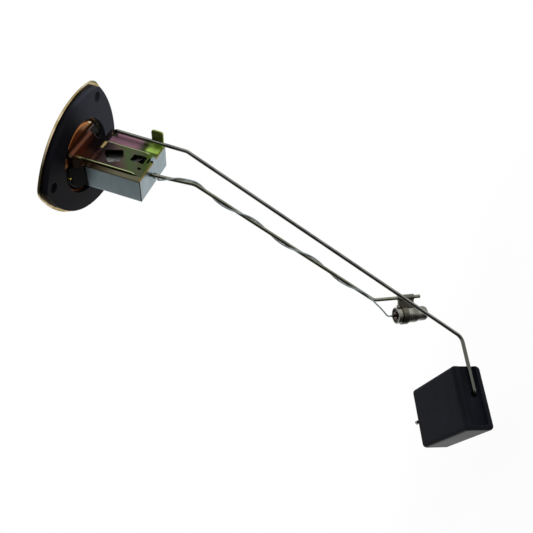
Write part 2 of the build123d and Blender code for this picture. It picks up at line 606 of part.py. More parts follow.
def signal_lead():
    """Lead from the signal terminal to the card's last turn."""
    x, y = BLADES["signal"]
    end = about_pivot(RIVET_AT_R, RIVET_ANGLES[1], CARD_Y[1] + 0.6)
    points = [Vector(x, y, SHANK_END_Z), Vector(x, y, -11.0), Vector(end.X + 0.2, -0.6, -12.4), end]
    return bent_bar(points, [1.5, 2.0], RegularPolygon(LEAD_R, LEAD_SIDES))


def sensor_clip():
    """Strip clip: curled over the rod, with a band round the can."""
    place = can_place()
    start = place.origin - place.x_dir * CAN_OFFSET + CAN_AXIS * 2.0
    rod_curl = Plane(origin=start, x_dir=place.x_dir, z_dir=CAN_AXIS)
    curl = extrude(rod_curl * Circle(WIRE_R + 0.06 + CLIP_T), amount=CLIP_WIDTH)
    web = rod_curl * span_box((0, CAN_OFFSET - CAN_R), (-CLIP_T, CLIP_T), (0, CLIP_WIDTH))
    band_plane = Plane(origin=place.origin + CAN_AXIS * 3.2, x_dir=place.x_dir, z_dir=CAN_AXIS)
    band = extrude(band_plane * Circle(CAN_R + 0.04 + CLIP_T), amount=3.6)
    saddle = rod_curl * span_box((CAN_OFFSET - CAN_R - 1.2, CAN_OFFSET - CAN_R + 0.2), (-2.2, 2.2), (0, CLIP_WIDTH))
    clip = curl + web + band + saddle
    clip -= cylinder_between(rod_curl.origin - CAN_AXIS * 3, rod_curl.origin + CAN_AXIS * 20, WIRE_R + 0.05)
    return clip - cylinder_between(place.origin - CAN_AXIS * 3, place.origin + CAN_AXIS * 30, CAN_R + 0.03)


def sensor_can():
    """Drawn can with a stepped waist, a rounded closed end and an open mouth."""
    waist = CAN_LENGTH * 0.62
    narrow = CAN_R - 0.6
    profile = Polyline(
        (0, 3.0), (CAN_R - 0.7, 3.0), (CAN_R - 0.7, 0), (CAN_R, 0), (CAN_R, waist), (narrow, waist + 0.4),
        (narrow, CAN_LENGTH - 1.9), (narrow - 0.5, CAN_LENGTH - 0.7), (narrow - 1.6, CAN_LENGTH), (0, CAN_LENGTH),
        close=True)
    return can_place() * revolve(Plane.XZ * make_face(profile), Axis.Z)


def sensor_end_cap():
    """Insulating disc in the can's mouth."""
    place = can_place()
    disc = cylinder_between(place.origin + CAN_AXIS * 1.0, place.origin + CAN_AXIS * 2.9, CAN_R - 0.75)
    return disc - cylinder_between(place.origin, place.origin + CAN_AXIS * 4, 1.3)


def sensor_terminal():
    """Eyelet in the disc that takes the lead."""
    profile = Polyline((0, -2.4), (0.95, -2.4), (0.95, -0.4), (2.3, -0.4), (2.3, 0.95), (1.25, 0.95), (1.25, 2.8),
                       (0, 2.8), close=True)
    return can_place() * revolve(Plane.XZ * make_face(profile), Axis.Z)


def lead_grommet():
    """Insulating bush where the lead leaves the end wall."""
    inner = LEAD_EXIT + Vector(0, 0, HOUSING_T + 1.0)
    bush = cylinder_between(LEAD_EXIT - Vector(0, 0, 0.6), inner, 1.2)
    bush += cylinder_between(LEAD_EXIT - Vector(0, 0, 0.6), LEAD_EXIT, 1.7)
    return bush - cylinder_between(LEAD_EXIT - Vector(0, 0, 4), LEAD_EXIT + Vector(0, 0, 5), LEAD_R + 0.12)


def inner_insulator():
    """Moulded plate on the boss: a spigot through the flange and a sleeve into the housing at each shank."""
    height = BOSS_IN_Z - INSULATOR_IN_Z
    middle_z = (BOSS_IN_Z + INSULATOR_IN_Z) / 2
    plate = Pos(0, 0, middle_z) * Cylinder(INSULATOR_R, height)
    plate &= span_box((-30, 30), (PANEL_Y + LIP_DEPTH + 1.0, 30), (-1, 3))
    plate += span_box((PANEL_X[0] - NECK_FLARE + 1.7, PANEL_X[1] + NECK_FLARE - 1.7),
                      (PANEL_Y + 1.8, PANEL_Y + LIP_DEPTH + 1.1), (INSULATOR_IN_Z, BOSS_IN_Z))
    plate -= Pos(*PIP, middle_z) * Cylinder(PIP_R + 0.5, 2 * height)
    for x, y in BLADES.values():
        plate += cylinder_between(Vector(x, y, SLEEVE_END_Z), Vector(x, y, INSULATOR_IN_Z + 0.1), SLEEVE_R)
        plate += cylinder_between(Vector(x, y, BOSS_IN_Z), Vector(x, y, BOSS_OUT_Z + 0.9), SPIGOT_R)
        plate -= cylinder_between(Vector(x, y, SLEEVE_END_Z - 1), Vector(x, y, INSULATOR_IN_Z), SLEEVE_BORE_R)
        plate -= cylinder_between(Vector(x, y, -2), Vector(x, y, 8), SHANK_R + 0.04)
    return plate


def terminal_block():
    """Moulded plug socket that stands in the plate's recess."""
    block = span_box((-BLOCK_HALF_X, BLOCK_HALF_X), BLOCK_Y, (BOSS_OUT_Z, BLOCK_TOP_Z))
    block = fillet(block.edges().filter_by(Axis.Z), 2.0)
    block -= span_box((-BLOCK_HALF_X + BLOCK_WALL, BLOCK_HALF_X - BLOCK_WALL),
                      (BLOCK_Y[0] + BLOCK_WALL, BLOCK_Y[1] - BLOCK_WALL), (BLOCK_FLOOR_Z, BLOCK_TOP_Z + 1))
    # keying rib on one long wall
    block += span_box((BLOCK_HALF_X - 0.2, BLOCK_HALF_X + 1.0), (-2, 4), (PLATE_OUT_Z + 1, BLOCK_TOP_Z - 1))
    for x, y in BLADES.values():
        block -= Pos(x, y, BLOCK_FLOOR_Z - 1) * Cylinder(SHANK_R + 0.02, 16)
        block -= Pos(x, y, BOSS_OUT_Z) * Cylinder(SPIGOT_R + 0.04, 2.4)
    return block


def terminal_blade(name):
    """Spade blade on a round shank with a shoulder under the insulator."""
    x, y = BLADES[name]
    blade = span_box((x - BLADE_T / 2, x + BLADE_T / 2), (y - BLADE_W / 2, y + BLADE_W / 2),
                     (BLOCK_FLOOR_Z, BLOCK_TOP_Z - 0.6))
    blade = chamfer(blade.edges().group_by(Axis.Z)[-1].filter_by(Axis.X), 0.9, 0.9)
    blade += cylinder_between(Vector(x, y, SHANK_END_Z), Vector(x, y, BLOCK_FLOOR_Z + 0.2), SHANK_R)
    return blade + cylinder_between(Vector(x, y, -0.35), Vector(x, y, INSULATOR_IN_Z - 0.05), 1.6)


def ground_terminal():
    """Earth blade: a foot welded in the plate's recess, a stem and a spade that clears the rim."""
    stem_y = (-15.9, -13.3)
    earth = span_box((2.0, EARTH_X[1]), stem_y, (BOSS_OUT_Z, BOSS_OUT_Z + BLADE_T))
    earth += span_box(EARTH_X, stem_y, (BOSS_OUT_Z, PLATE_OUT_Z + 2.5))
    blade = span_box(EARTH_X, (EARTH_TIP[0], EARTH_TIP[0] + BLADE_W), (PLATE_OUT_Z + 2, EARTH_TIP[1]))
    return earth + chamfer(blade.edges().group_by(Axis.Z)[-1].filter_by(Axis.X), 0.5, 0.5)


def build_parts():
    """Every node's solid by its name."""
    return {
        "flange_plate": flange_plate(),
        "flange_gasket": flange_gasket(),
        "support_bracket": support_bracket(),
        "resistor_housing": resistor_housing(),
        "resistor_card": resistor_card(),
        "card_rivets": card_rivets(),
        "resistance_winding": resistance_winding(),
        "pivot_bush_upper": pivot_bush((COVER_Y - 0.35, HOUSING_RIM_Y + 1.2), (HOUSING_RIM_Y, HOUSING_RIM_Y + 0.8)),
        "pivot_bush_lower": pivot_bush((HOUSING_BACK_Y - HOUSING_T - 1.2, HOUSING_BACK_Y + 0.9),
                                       (HOUSING_BACK_Y, HOUSING_BACK_Y + 0.9)),
        "float_arm": float_arm(),
        "float": float_block(),
        "wiper_hub": wiper_hub(),
        "wiper_blade": wiper_blade(),
        "wiper_contact": wiper_contact(),
        "retaining_ring": retaining_ring(),
        "sensor_rod": sensor_rod(),
        "rod_ferrule": rod_ferrule(),
        "sensor_lead": sensor_lead(),
        "sensor_clip": sensor_clip(),
        "sensor_can": sensor_can(),
        "sensor_end_cap": sensor_end_cap(),
        "sensor_terminal": sensor_terminal(),
        "lead_grommet": lead_grommet(),
        "signal_lead": signal_lead(),
        "terminal_block": terminal_block(),
        "inner_insulator": inner_insulator(),
        "signal_terminal": terminal_blade("signal"),
        "warning_terminal": terminal_blade("warning"),
        "ground_terminal": ground_terminal(),
    }


os.makedirs("parts", exist_ok=True)
for node, solid in build_parts().items():
    export_step(solid, f"parts/{node}.step")
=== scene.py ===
"""Dresses the fuel level sender: its plated sheet, drawn wire, foam float and low-fuel sensor."""

from __future__ import annotations

import logging
import math
from collections.abc import Callable, Mapping, Sequence
from dataclasses import dataclass
from enum import Enum

import bpy
from mathutils import Matrix, Vector

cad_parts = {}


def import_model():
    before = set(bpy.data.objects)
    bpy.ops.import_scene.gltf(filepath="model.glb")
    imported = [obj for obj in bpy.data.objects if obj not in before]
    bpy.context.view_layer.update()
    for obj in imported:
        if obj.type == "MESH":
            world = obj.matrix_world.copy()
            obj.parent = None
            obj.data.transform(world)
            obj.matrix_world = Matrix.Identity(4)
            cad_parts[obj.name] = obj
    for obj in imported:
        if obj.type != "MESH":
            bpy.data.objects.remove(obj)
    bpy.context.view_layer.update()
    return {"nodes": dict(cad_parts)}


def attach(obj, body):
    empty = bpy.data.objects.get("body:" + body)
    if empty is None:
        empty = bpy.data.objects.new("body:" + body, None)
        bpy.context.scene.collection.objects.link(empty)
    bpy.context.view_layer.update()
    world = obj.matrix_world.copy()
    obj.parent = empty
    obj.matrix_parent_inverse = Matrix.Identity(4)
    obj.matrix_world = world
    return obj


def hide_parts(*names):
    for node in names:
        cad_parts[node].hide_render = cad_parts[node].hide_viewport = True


LOG = logging.getLogger("fuel_sender")

Colour = tuple[float, float, float]
Point = tuple[float, float, float]
Place = tuple[float, float]
Band = tuple[float, float]
Span = tuple[Band, Band]

WHITE: Colour = (1.0, 1.0, 1.0)


class Body(Enum):
    """The two bodies of the sender."""

    SENDER = "sender"
    ARM = "arm"


class Ray(Enum):
    """Kinds of light ray, by the output that tells them."""

    CAMERA = "Is Camera Ray"
    MIRRORED = "Is Glossy Ray"
    THROUGH = "Is Transmission Ray"


class Part(Enum):
    """What is picked in edit mode, by its select mode."""

    VERTICES = "VERT"
    EDGES = "EDGE"


# Shader graph


@dataclass(frozen=True)
class Pattern:
    """Cloudy noise: features per metre, octaves, roughness and warp."""

    scale: float
    detail: float
    rough: float
    warp: float = 0.0


class Signal:
    """A number on its way through a shader graph, with arithmetic."""

    def __init__(self, graph: Graph, socket: bpy.types.NodeSocket) -> None:
        """Wraps an output socket of a graph."""
        self.graph = graph
        self.socket = socket

    def _with(self, operation: str, other: Signal | float, swap: bool = False) -> Signal:
        """Joins this number to another, which comes first if swapped, with one Math node."""
        pair = (other, self) if swap else (self, other)
        return self.graph.node("ShaderNodeMath", {"operation": operation}, {0: pair[0], 1: pair[1]})

    def __add__(self, other: Signal | float) -> Signal:
        """Sum."""
        return self._with("ADD", other)

    __radd__ = __add__

    def __sub__(self, other: Signal | float) -> Signal:
        """Difference."""
        return self._with("SUBTRACT", other)

    def __rsub__(self, other: Signal | float) -> Signal:
        """Difference with this number second."""
        return self._with("SUBTRACT", other, swap=True)

    def __mul__(self, other: Signal | float) -> Signal:
        """Product."""
        return self._with("MULTIPLY", other)

    __rmul__ = __mul__

    def __pow__(self, other: Signal | float) -> Signal:
        """Power."""
        return self._with("POWER", other)

    def most(self, other: Signal) -> Signal:
        """The larger of two numbers."""
        return self._with("MAXIMUM", other)

    def wave(self) -> Signal:
        """Sine wave of this number, from 0 to 1."""
        return self._with("SINE", 0.0) * 0.5 + 0.5

    def band(self, low: float, high: float) -> Signal:
        """Smooth step from 0 below low to 1 above high."""
        limits = {"Value": self, "From Min": low, "From Max": high, "To Min": 0.0, "To Max": 1.0}
        return self.graph.node("ShaderNodeMapRange", {"interpolation_type": "SMOOTHSTEP"}, limits)

    def fall(self, low: float, high: float) -> Signal:
        """Smooth step from 1 below low to 0 above high."""
        return 1.0 - self.band(low, high)

    def span(self, rise: Band, fall: Band) -> Signal:
        """Rises to 1 over one band and falls to 0 over the next."""
        return self.band(*rise) * self.fall(*fall)

    def close(self, place: float, width: Band) -> Signal:
        """1 at a place, falling to 0 as far from it as the band says."""
        return (self - place)._with("ABSOLUTE", 0.0).fall(*width)

    def between(self, low: float, high: float) -> Signal:
        """Rescales 0 to 1 onto low to high."""
        return self * (high - low) + low


class Graph:
    """One shader node tree."""

    def __init__(self, tree: bpy.types.NodeTree) -> None:
        """Empties the node tree of a material or world."""
        self.tree = tree
        tree.nodes.clear()

    def node(
        self,
        kind: str,
        settings: Mapping[str, object] | None = None,
        inputs: Mapping[str | int, object] | None = None,
        output: str | int = 0,
    ) -> Signal:
        """Makes a node, sets it up and links it.

        Args:
            kind: The node's type.
            settings: Properties, and "stops" for a colour ramp.
            inputs: Values or signals by socket name or number.
            output: The output that is wanted.

        Returns:
            The node's output.
        """
        made = self.tree.nodes.new(kind)
        for key, value in (settings or {}).items():
            if key == "stops":
                self._set_stops(made.color_ramp, value)
            else:
                setattr(made, key, value)
        for key, value in (inputs or {}).items():
            socket = made.inputs[key]
            if isinstance(value, Signal):
                self.tree.links.new(value.socket, socket)
            elif isinstance(value, tuple) and len(value) == 3 and len(socket.default_value) == 4:
                socket.default_value = (*value, 1.0)
            else:
                socket.default_value = value
        if len(made.outputs) == 0:
            return Signal(self, made.inputs[0])
        return Signal(self, made.outputs[output])

    @staticmethod
    def _set_stops(ramp: bpy.types.ColorRamp, stops: Sequence[tuple[float, Colour]]) -> None:
        """Gives a colour ramp its stops.

        Args:
            ramp: The ramp.
            stops: Places from 0 to 1 with their colours.
        """
        while len(ramp.elements) < len(stops):
            ramp.elements.new(1.0)
        for element, (place, colour) in zip(ramp.elements, stops):
            element.position = place
            element.color = (*colour, 1.0)

    def place(self) -> Signal:
        """The point on the piece, in the sender's own frame in metres."""
        return self.node("ShaderNodeTexCoord", output="Object")

    def at(self, name: str) -> Signal:
        """The X, Y or Z of the point on the piece."""
        return self.node("ShaderNodeSeparateXYZ", inputs={0: self.place()}, output=name)

    def away(self, centre: Place = (0.0, 0.0)) -> Signal:
        """Distance from an upright line through a place in the XY plane."""
        across, ahead = self.at("X") - centre[0], self.at("Y") - centre[1]
        return (across * across + ahead * ahead) ** 0.5

    def ray(self, kind: Ray) -> Signal:
        """1 for rays of one kind and 0 for the rest."""
        return self.node("ShaderNodeLightPath", output=kind.value)

    def vector(self, operation: str, first: object, second: object, output: str | int = 0) -> Signal:
        """Joins two vectors with one Vector Math node."""
        return self.node("ShaderNodeVectorMath", {"operation": operation}, {0: first, 1: second}, output)

    def along(self, direction: Point, origin: Point = (0.0, 0.0, 0.0)) -> Signal:
        """Distance in metres from an origin along a direction."""
        return self.vector("DOT_PRODUCT", self.vector("SUBTRACT", self.place(), origin), direction, "Value")

    def drawn(self, direction: Point, squeeze: float) -> Signal:
        """The place with one direction squeezed, so that a pattern runs in long lines along it.

        Args:
            direction: The direction of the lines.
            squeeze: The share that is left of a distance along them.

        Returns:
            The squeezed place.
        """
        unit = tuple(Vector(direction).normalized())
        shift = {0: unit, "Scale": self.along(unit) * (squeeze - 1.0)}
        back = self.node("ShaderNodeVectorMath", {"operation": "SCALE"}, shift)
        return self.vector("ADD", self.place(), back)

    def noise(self, pattern: Pattern, where: Signal | None = None) -> Signal:
        """Soft cloudy noise from 0 to 1.

        Args:
            pattern: Its scale and grain.
            where: The place that it is read at, if not the point on the piece.

        Returns:
            The noise.
        """
        inputs = {
            "Vector": where or self.place(),
            "Scale": pattern.scale,
            "Detail": pattern.detail,
            "Roughness": pattern.rough,
            "Distortion": pattern.warp,
        }
        return self.node("ShaderNodeTexNoise", inputs=inputs, output="Fac")

    def cells(self, scale: float) -> Signal:
        """Distance to the nearest cell centre; scale is in cells per metre."""
        return self.node("ShaderNodeTexVoronoi", inputs={"Vector": self.place(), "Scale": scale})

    def mix(self, share: Signal | float, first: object, second: object) -> Signal:
        """Mixes two colours."""
        return self.node("ShaderNodeMix", {"data_type": "RGBA"}, {0: share, 6: first, 7: second}, 2)

    def ramp(self, value: Signal, stops: Sequence[tuple[float, Colour]]) -> Signal:
        """Runs a number through a colour ramp."""
        return self.node("ShaderNodeValToRGB", {"stops": stops}, {0: value}, output="Color")

    def bump(self, height: Signal, depth: float, strength: float, below: Signal | None = None) -> Signal:
        """Bump normal.

        Args:
            height: Height from 0 to 1.
            depth: What a height of 1 is, in metres.
            strength: Share of the bump that shows.
            below: A normal that the bump lies on.

        Returns:
            The normal.
        """
        inputs: dict[str | int, object] = {"Height": height, "Distance": depth, "Strength": strength}
        if below is not None:
            inputs["Normal"] = below
        return self.node("ShaderNodeBump", inputs=inputs, output="Normal")


# Finishes


def tone(*parts: int) -> Colour:
    """Turns a colour as seen on a screen into the shader's linear values.

    Args:
        parts: Its red, green and blue, 0 to 255.

    Returns:
        The linear colour.
    """

    def straighten(share: float) -> float:
        """One part from 0 to 1, made linear."""
        return share / 12.92 if share <= 0.04045 else ((share + 0.055) / 1.055) ** 2.4

    return tuple(straighten(part / 255.0) for part in parts)


@dataclass(frozen=True)
class Finish:
    """A finish with its name; each kind paints its own shader."""

    name: str

    def material(self) -> bpy.types.Material:
        """Makes the material.

        Returns:
            The new material.
        """
        made = bpy.data.materials.new(self.name)
        made.use_nodes = True
        graph = Graph(made.node_tree)
        graph.node("ShaderNodeOutputMaterial", inputs={"Surface": self.paint(graph)})
        return made

    def paint(self, graph: Graph) -> Signal:
        """Builds the shader in an empty graph."""
        raise NotImplementedError

    @staticmethod
    def surface(
        graph: Graph,
        colour: Signal,
        rough: Signal,
        normal: Signal,
        metallic: Signal | float = 0.0,
        shine: float = 0.5,
    ) -> Signal:
        """Makes the Principled shader.

        Args:
            graph: The graph.
            colour: Base colour.
            rough: Roughness.
            normal: Bumped normal.
            metallic: Share that shines as metal.
            shine: Specular level of what doesn't.

        Returns:
            The shader.
        """
        inputs = {"Base Color": colour, "Metallic": metallic, "Roughness": rough, "Normal": normal}
        return graph.node("ShaderNodeBsdfPrincipled", inputs={**inputs, "Specular IOR Level": shine})


@dataclass(frozen=True)
class FilmZinc(Finish):
    """Yellow zinc on polished sheet, whose film turns from gold through pink to green."""

    tints: tuple[Colour, ...] = ()
    slope: Point = (0.0, 0.0, 0.0)
    origin: Point = (0.0, 0.0, 0.0)
    sway: float = 0.34
    cloud: float = 70.0
    roughness: float = 0.20
    rolled: Pattern = Pattern(700.0, 2.0, 0.6)
    rolled_squeeze: float = 0.05
    scuffed: Pattern = Pattern(260.0, 4.0, 0.65)
    scuff_run: Band = (0.68, 0.82)
    rubbed: Colour = tone(120, 118, 100)
    relief: float = 0.00002
    # Specular level of the share that is not metal; on the plate that share is the painted shade.
    painted_shade_shine: float = 0.02

    def film(self, graph: Graph) -> Signal:
        """Finds where on the run of tints each point lies.

        Args:
            graph: The finish's graph.

        Returns:
            The place on the run, from 0 to 1.
        """
        cloud = graph.noise(Pattern(self.cloud, 3.0, 0.5, 0.5))
        fine = graph.noise(Pattern(self.cloud * 7.0, 4.0, 0.6))
        stain = (cloud - 0.5) * self.sway + (fine - 0.5) * (self.sway * 0.4)
        return graph.along(self.slope, self.origin) + stain

    def tinted(self, graph: Graph) -> Signal:
        """The film's colour before wear."""
        last = len(self.tints) - 1
        return graph.ramp(self.film(graph), [(k / last, tint) for k, tint in enumerate(self.tints)])

    def dullness(self, graph: Graph) -> Signal | float:
        """How much rougher than its best each place is."""
        return 0.0

    def bareness(self, graph: Graph) -> Signal | float:
        """Share of each place that shines as metal; the rest is dark and dull, which on the plate is
        painted shade.
        """
        return 1.0

    def paint(self, graph: Graph) -> Signal:
        """Builds the shader from the film, rubbed spots, rolled grain and varying gloss.

        Args:
            graph: The empty graph.

        Returns:
            The shader.
        """
        colour = self.tinted(graph)
        grain = graph.noise(self.rolled, graph.drawn((0.0, 0.0, 1.0), self.rolled_squeeze))
        scuffs = graph.noise(self.scuffed)
        rough = scuffs * 0.12 + grain * 0.05 + (self.roughness - 0.08) + self.dullness(graph)
        rubbed = graph.mix(scuffs.band(*self.scuff_run) * 0.3, colour, self.rubbed)
        normal = graph.bump(grain * 0.5 + scuffs * 0.5, self.relief, 0.25)
        return self.surface(graph, rubbed, rough, normal, self.bareness(graph), self.painted_shade_shine)


@dataclass(frozen=True)
class BracketZinc(FilmZinc):
    """The folded sheet's film, with places in metres; out is towards the cover, depth into the tank.
    Painted highlights and painted shade are laid over it.
    """

    far_pink: Colour = tone(158, 116, 134)
    # Painted highlight: the bright lime green on the curved bend at the tab's base.
    lime_highlight: Colour = tone(200, 236, 116)
    near_brown: Colour = tone(58, 52, 34)
    near_gold: Colour = tone(98, 96, 76)
    tab_green: Colour = tone(154, 166, 96)
    # Painted shade: the neck darkened where it lies in the gasket's shadow and dark reflection.
    neck_shade: Colour = tone(30, 22, 26)
    end_brown: Colour = tone(118, 98, 50)
    # Painted highlight: a pale line along the raised panel's near and far crests.
    crest_highlight: Colour = tone(176, 186, 134)
    # Painted shade: the dark line in the fold beside the far crest and under the foot's front edge.
    fold_shade: Colour = tone(44, 34, 24)
    # Painted highlight: the short gold bar on the panel's end slope next to the neck.
    end_bar_highlight: Colour = tone(210, 186, 126)
    margin_sway: float = 0.004
    panel_x: Band = (-0.0134, 0.0057)
    crest_width: Band = (0.0004, 0.0007)
    raised_out: Band = (0.0106, 0.0109)
    near_run: Span = ((0.001, 0.004), (0.0375, 0.0395))
    far_run: Span = ((0.012, 0.013), (0.0385, 0.0405))
    bar_depth: float = 0.0121
    bar_width: Band = (0.0007, 0.0010)
    bar_x: Span = ((-0.0015, -0.0005), (0.0044, 0.0052))
    pink_x: Band = (0.0065, 0.0073)
    pink_from: Band = (0.0118, 0.0130)
    pink_to: Band = (0.028, 0.035)
    gold_beyond: Band = (0.0004, 0.0009)
    gold_depth: Band = (0.018, 0.030)
    lime_x: Band = (0.0067, 0.0087)
    lime_depth: Band = (0.0345, 0.0375)
    neck_run: Span = ((0.002, 0.0055), (0.0112, 0.0124))
    neck_x: Band = (-0.008, -0.003)
    fold_x: Span = ((0.0061, 0.0063), (0.0068, 0.0070))
    fold_depth: Band = (0.012, 0.013)
    tab_out: Band = (0.0122, 0.0128)
    tab_depth: Band = (0.030, 0.031)
    end_depth: Band = (0.0430, 0.0433)
    foot_out: Band = (0.0141, 0.0143)
    foot_depth: Band = (0.001, 0.002)
    dull_neck: Band = (0.006, 0.014)
    dull_x: Band = (0.0064, 0.0072)
    dull_depth: Band = (0.010, 0.012)
    dull_bar: Band = (0.0008, 0.0012)

    def dullness(self, graph: Graph) -> Signal | float:
        """Makes the neck, the far margin with its tab, and the panel's end bar rougher.

        Args:
            graph: The finish's graph.

        Returns:
            What is added to the roughness.
        """
        depth = graph.at("Z") * -1.0
        margin = graph.at("X").band(*self.dull_x) * depth.band(*self.dull_depth)
        bar = depth.close(self.bar_depth, self.dull_bar)
        return (depth.fall(*self.dull_neck) * 0.20).most(margin * 0.30).most(bar * 0.25)

    def tinted(self, graph: Graph) -> Signal:
        """Lays pink and gold margins, painted highlights on the crests, the tab's bend and the end bar, and
        painted shade on the neck and in the folds over the film, one by one.

        Args:
            graph: The finish's graph.

        Returns:
            The colour.
        """
        across, out, depth = graph.at("X"), graph.at("Y") * -1.0, graph.at("Z") * -1.0
        sway = (graph.noise(Pattern(self.cloud * 1.5, 3.0, 0.5)) - 0.5) * self.margin_sway
        near, far = self.panel_x
        raised = out.band(*self.raised_out)
        pink = (across + sway).band(*self.pink_x) * (depth + sway).fall(*self.pink_to)
        near_tint = graph.mix(depth.band(*self.gold_depth), self.near_brown, self.near_gold)
        near_crest = across.close(near, self.crest_width) * depth.span(*self.near_run)
        far_crest = across.close(far, self.crest_width) * depth.span(*self.far_run)
        bar = depth.close(self.bar_depth, self.bar_width) * across.span(*self.bar_x)
        # Painted light among these layers: lime, crest and end bar colours are painted highlights; neck and
        # fold colours are painted shade.
        layers = (
            (pink * depth.band(*self.pink_from), 0.85, self.far_pink),
            ((near - across + sway * 0.3).band(*self.gold_beyond), 0.8, near_tint),
            (across.band(*self.lime_x) * (depth + sway).band(*self.lime_depth), 0.9, self.lime_highlight),
            (depth.span(*self.neck_run) * (across + sway).band(*self.neck_x), 0.85, self.neck_shade),
            (across.span(*self.fold_x) * depth.band(*self.fold_depth), 0.8, self.fold_shade),
            (near_crest.most(far_crest) * raised, 0.9, self.crest_highlight),
            (bar * raised, 1.0, self.end_bar_highlight),
            (out.band(*self.tab_out) * depth.band(*self.tab_depth), 1.0, self.tab_green),
            (depth.band(*self.end_depth), 0.8, self.end_brown),
            (out.band(*self.foot_out) * depth.fall(*self.foot_depth), 0.85, self.fold_shade),
        )
        colour = super().tinted(graph)
        for mask, strength, tint in layers:
            colour = graph.mix(mask * strength, colour, tint)
        return colour


@dataclass(frozen=True)
class FlangeZinc(FilmZinc):
    """Yellow zinc of the stamped plate: orange on the boss, pale gold at the rim."""

    rim: Colour = tone(214, 192, 158)
    rim_gold: Colour = tone(156, 136, 84)
    rim_patches: Pattern = Pattern(85.0, 3.0, 0.5, 0.6)
    rim_share: Band = (0.40, 0.66)
    rim_run: Band = (0.024, 0.027)
    dull_boss: Band = (0.022, 0.024)
    # Painted shade: this colour and the runs below darken the boss's inner side away from the foot and make
    # it dull.
    painted_shade: Colour = tone(17, 13, 15)
    painted_shade_lean: float = 0.3
    painted_shade_run: Band = (-0.0115, -0.0098)
    painted_shade_reach: Band = (0.0224, 0.0230)
    boss_wall: Band = (0.0029, 0.0031)
    # Painted highlight: a small bright gold glint on the boss's root, kept clear of the painted shade.
    root_glint: Colour = tone(232, 214, 78)
    root_glint_at: Place = (-0.0183, 0.0029)
    root_glint_size: Band = (0.00063, 0.0009)
    # Painted highlight: a pale glint on the boss's shoulder near the foot.
    glint: Colour = tone(252, 238, 196)
    glint_at: Place = (0.0123, -0.0171)
    glint_size: Band = (0.00088, 0.0022)
    edge_olive: Colour = tone(92, 100, 62)
    corner_run: Band = (0.0421, 0.0423)
    tank_side: Band = (0.00352, 0.0036)
    wall_run: Span = ((0.0044, 0.0046), (0.0050, 0.00508))

    def edge(self, graph: Graph) -> Signal:
        """The plate's dark outer edge: its corners on the side of the tank, and its wall's outer half."""
        corner = graph.away().band(*self.corner_run) * graph.at("Z").fall(*self.tank_side)
        return corner.most(graph.at("Z").span(*self.wall_run))

    def shade(self, graph: Graph) -> Signal:
        """Finds the boss's inner side away from the foot, which is painted dark as shade.

        Args:
            graph: The finish's graph.

        Returns:
            1 under the painted shade.
        """
        run = (graph.at("Y") + graph.at("X") * self.painted_shade_lean).band(*self.painted_shade_run)
        inner = graph.at("Z").fall(*self.boss_wall) * graph.away().fall(*self.painted_shade_reach)
        return run * inner * graph.away(self.root_glint_at).band(*self.root_glint_size)

    def bareness(self, graph: Graph) -> Signal | float:
        """Metal everywhere but under the painted shade, which is made dark and dull."""
        return 1.0 - self.shade(graph) * 0.97

    def dullness(self, graph: Graph) -> Signal | float:
        """Rougher on the pressed boss."""
        return graph.away().fall(*self.dull_boss) * 0.16

    def tinted(self, graph: Graph) -> Signal:
        """Lays painted shade, a painted gold glint at the boss's root and a painted pale glint over the
        boss's film, and adds the rim.

        Args:
            graph: The finish's graph.

        Returns:
            The colour.
        """
        # Painted shade on the boss's inner side comes first.
        boss = graph.mix(self.shade(graph), super().tinted(graph), self.painted_shade)
        # Painted highlights: a gold glint at the boss's root, then a pale glint on its shoulder.
        boss = graph.mix(graph.away(self.root_glint_at).fall(*self.root_glint_size), boss, self.root_glint)
        boss = graph.mix(graph.away(self.glint_at).fall(*self.glint_size) * 0.9, boss, self.glint)
        rim = graph.mix(graph.noise(self.rim_patches).band(*self.rim_share), self.rim, self.rim_gold)
        rim = graph.mix(self.edge(graph) * 0.9, rim, self.edge_olive)
        return graph.mix(graph.away().band(*self.rim_run), boss, rim)


@dataclass(frozen=True)
class BrightZinc(Finish):
    """Bright zinc plate with faint streaks and spangle."""

    colour: Colour = tone(130, 146, 150)
    pale: Colour = tone(150, 164, 169)
    roughness: float = 0.36
    streaked: Pattern = Pattern(150.0, 3.0, 0.6)
    streak_squeeze: float = 0.25
    spangled: Pattern = Pattern(520.0, 4.0, 0.65)
    blotched: Pattern = Pattern(60.0, 2.0, 0.5)
    pale_share: Band = (0.35, 0.75)
    seam: Colour = tone(96, 74, 44)
    seam_x: Band = (-0.0170, -0.0168)
    seam_z: Band = (-0.0436, -0.0434)
    # Painted reflection: the tray's side darkened next to the flange, where it mirrors the black gasket.
    gasket_reflection: Colour = tone(20, 19, 23)
    gasket_reflection_x: Band = (-0.0173, -0.0170)
    gasket_reflection_z: Band = (-0.0108, -0.0102)
    relief: float = 0.00004

    def paint(self, graph: Graph) -> Signal:
        """Builds the shader from streaks and spangle, with the tray's brown seam and a painted dark
        reflection of the gasket on the side by the flange.

        Args:
            graph: The empty graph.

        Returns:
            The shader.
        """
        streak = graph.noise(self.streaked, graph.drawn((0.0, 1.0, 0.0), self.streak_squeeze))
        spangle = graph.noise(self.spangled)
        share = streak * 0.5 + graph.noise(self.blotched) * 0.4 + spangle * 0.2
        colour = graph.mix(share.band(*self.pale_share), self.colour, self.pale)
        seam = graph.at("X").fall(*self.seam_x) * graph.at("Z").fall(*self.seam_z)
        colour = graph.mix(seam * 0.85, colour, self.seam)
        # Painted reflection of the black gasket on the side's end by the flange.
        gasket_reflection = graph.at("X").fall(*self.gasket_reflection_x) * graph.at("Z").band(*self.gasket_reflection_z)
        colour = graph.mix(gasket_reflection * 0.9, colour, self.gasket_reflection)
        rough = spangle * 0.2 + (self.roughness - 0.10)
        normal = graph.bump(spangle * 0.6 + streak * 0.4, self.relief, 0.4)
        return self.surface(graph, colour, rough, normal, 1.0)


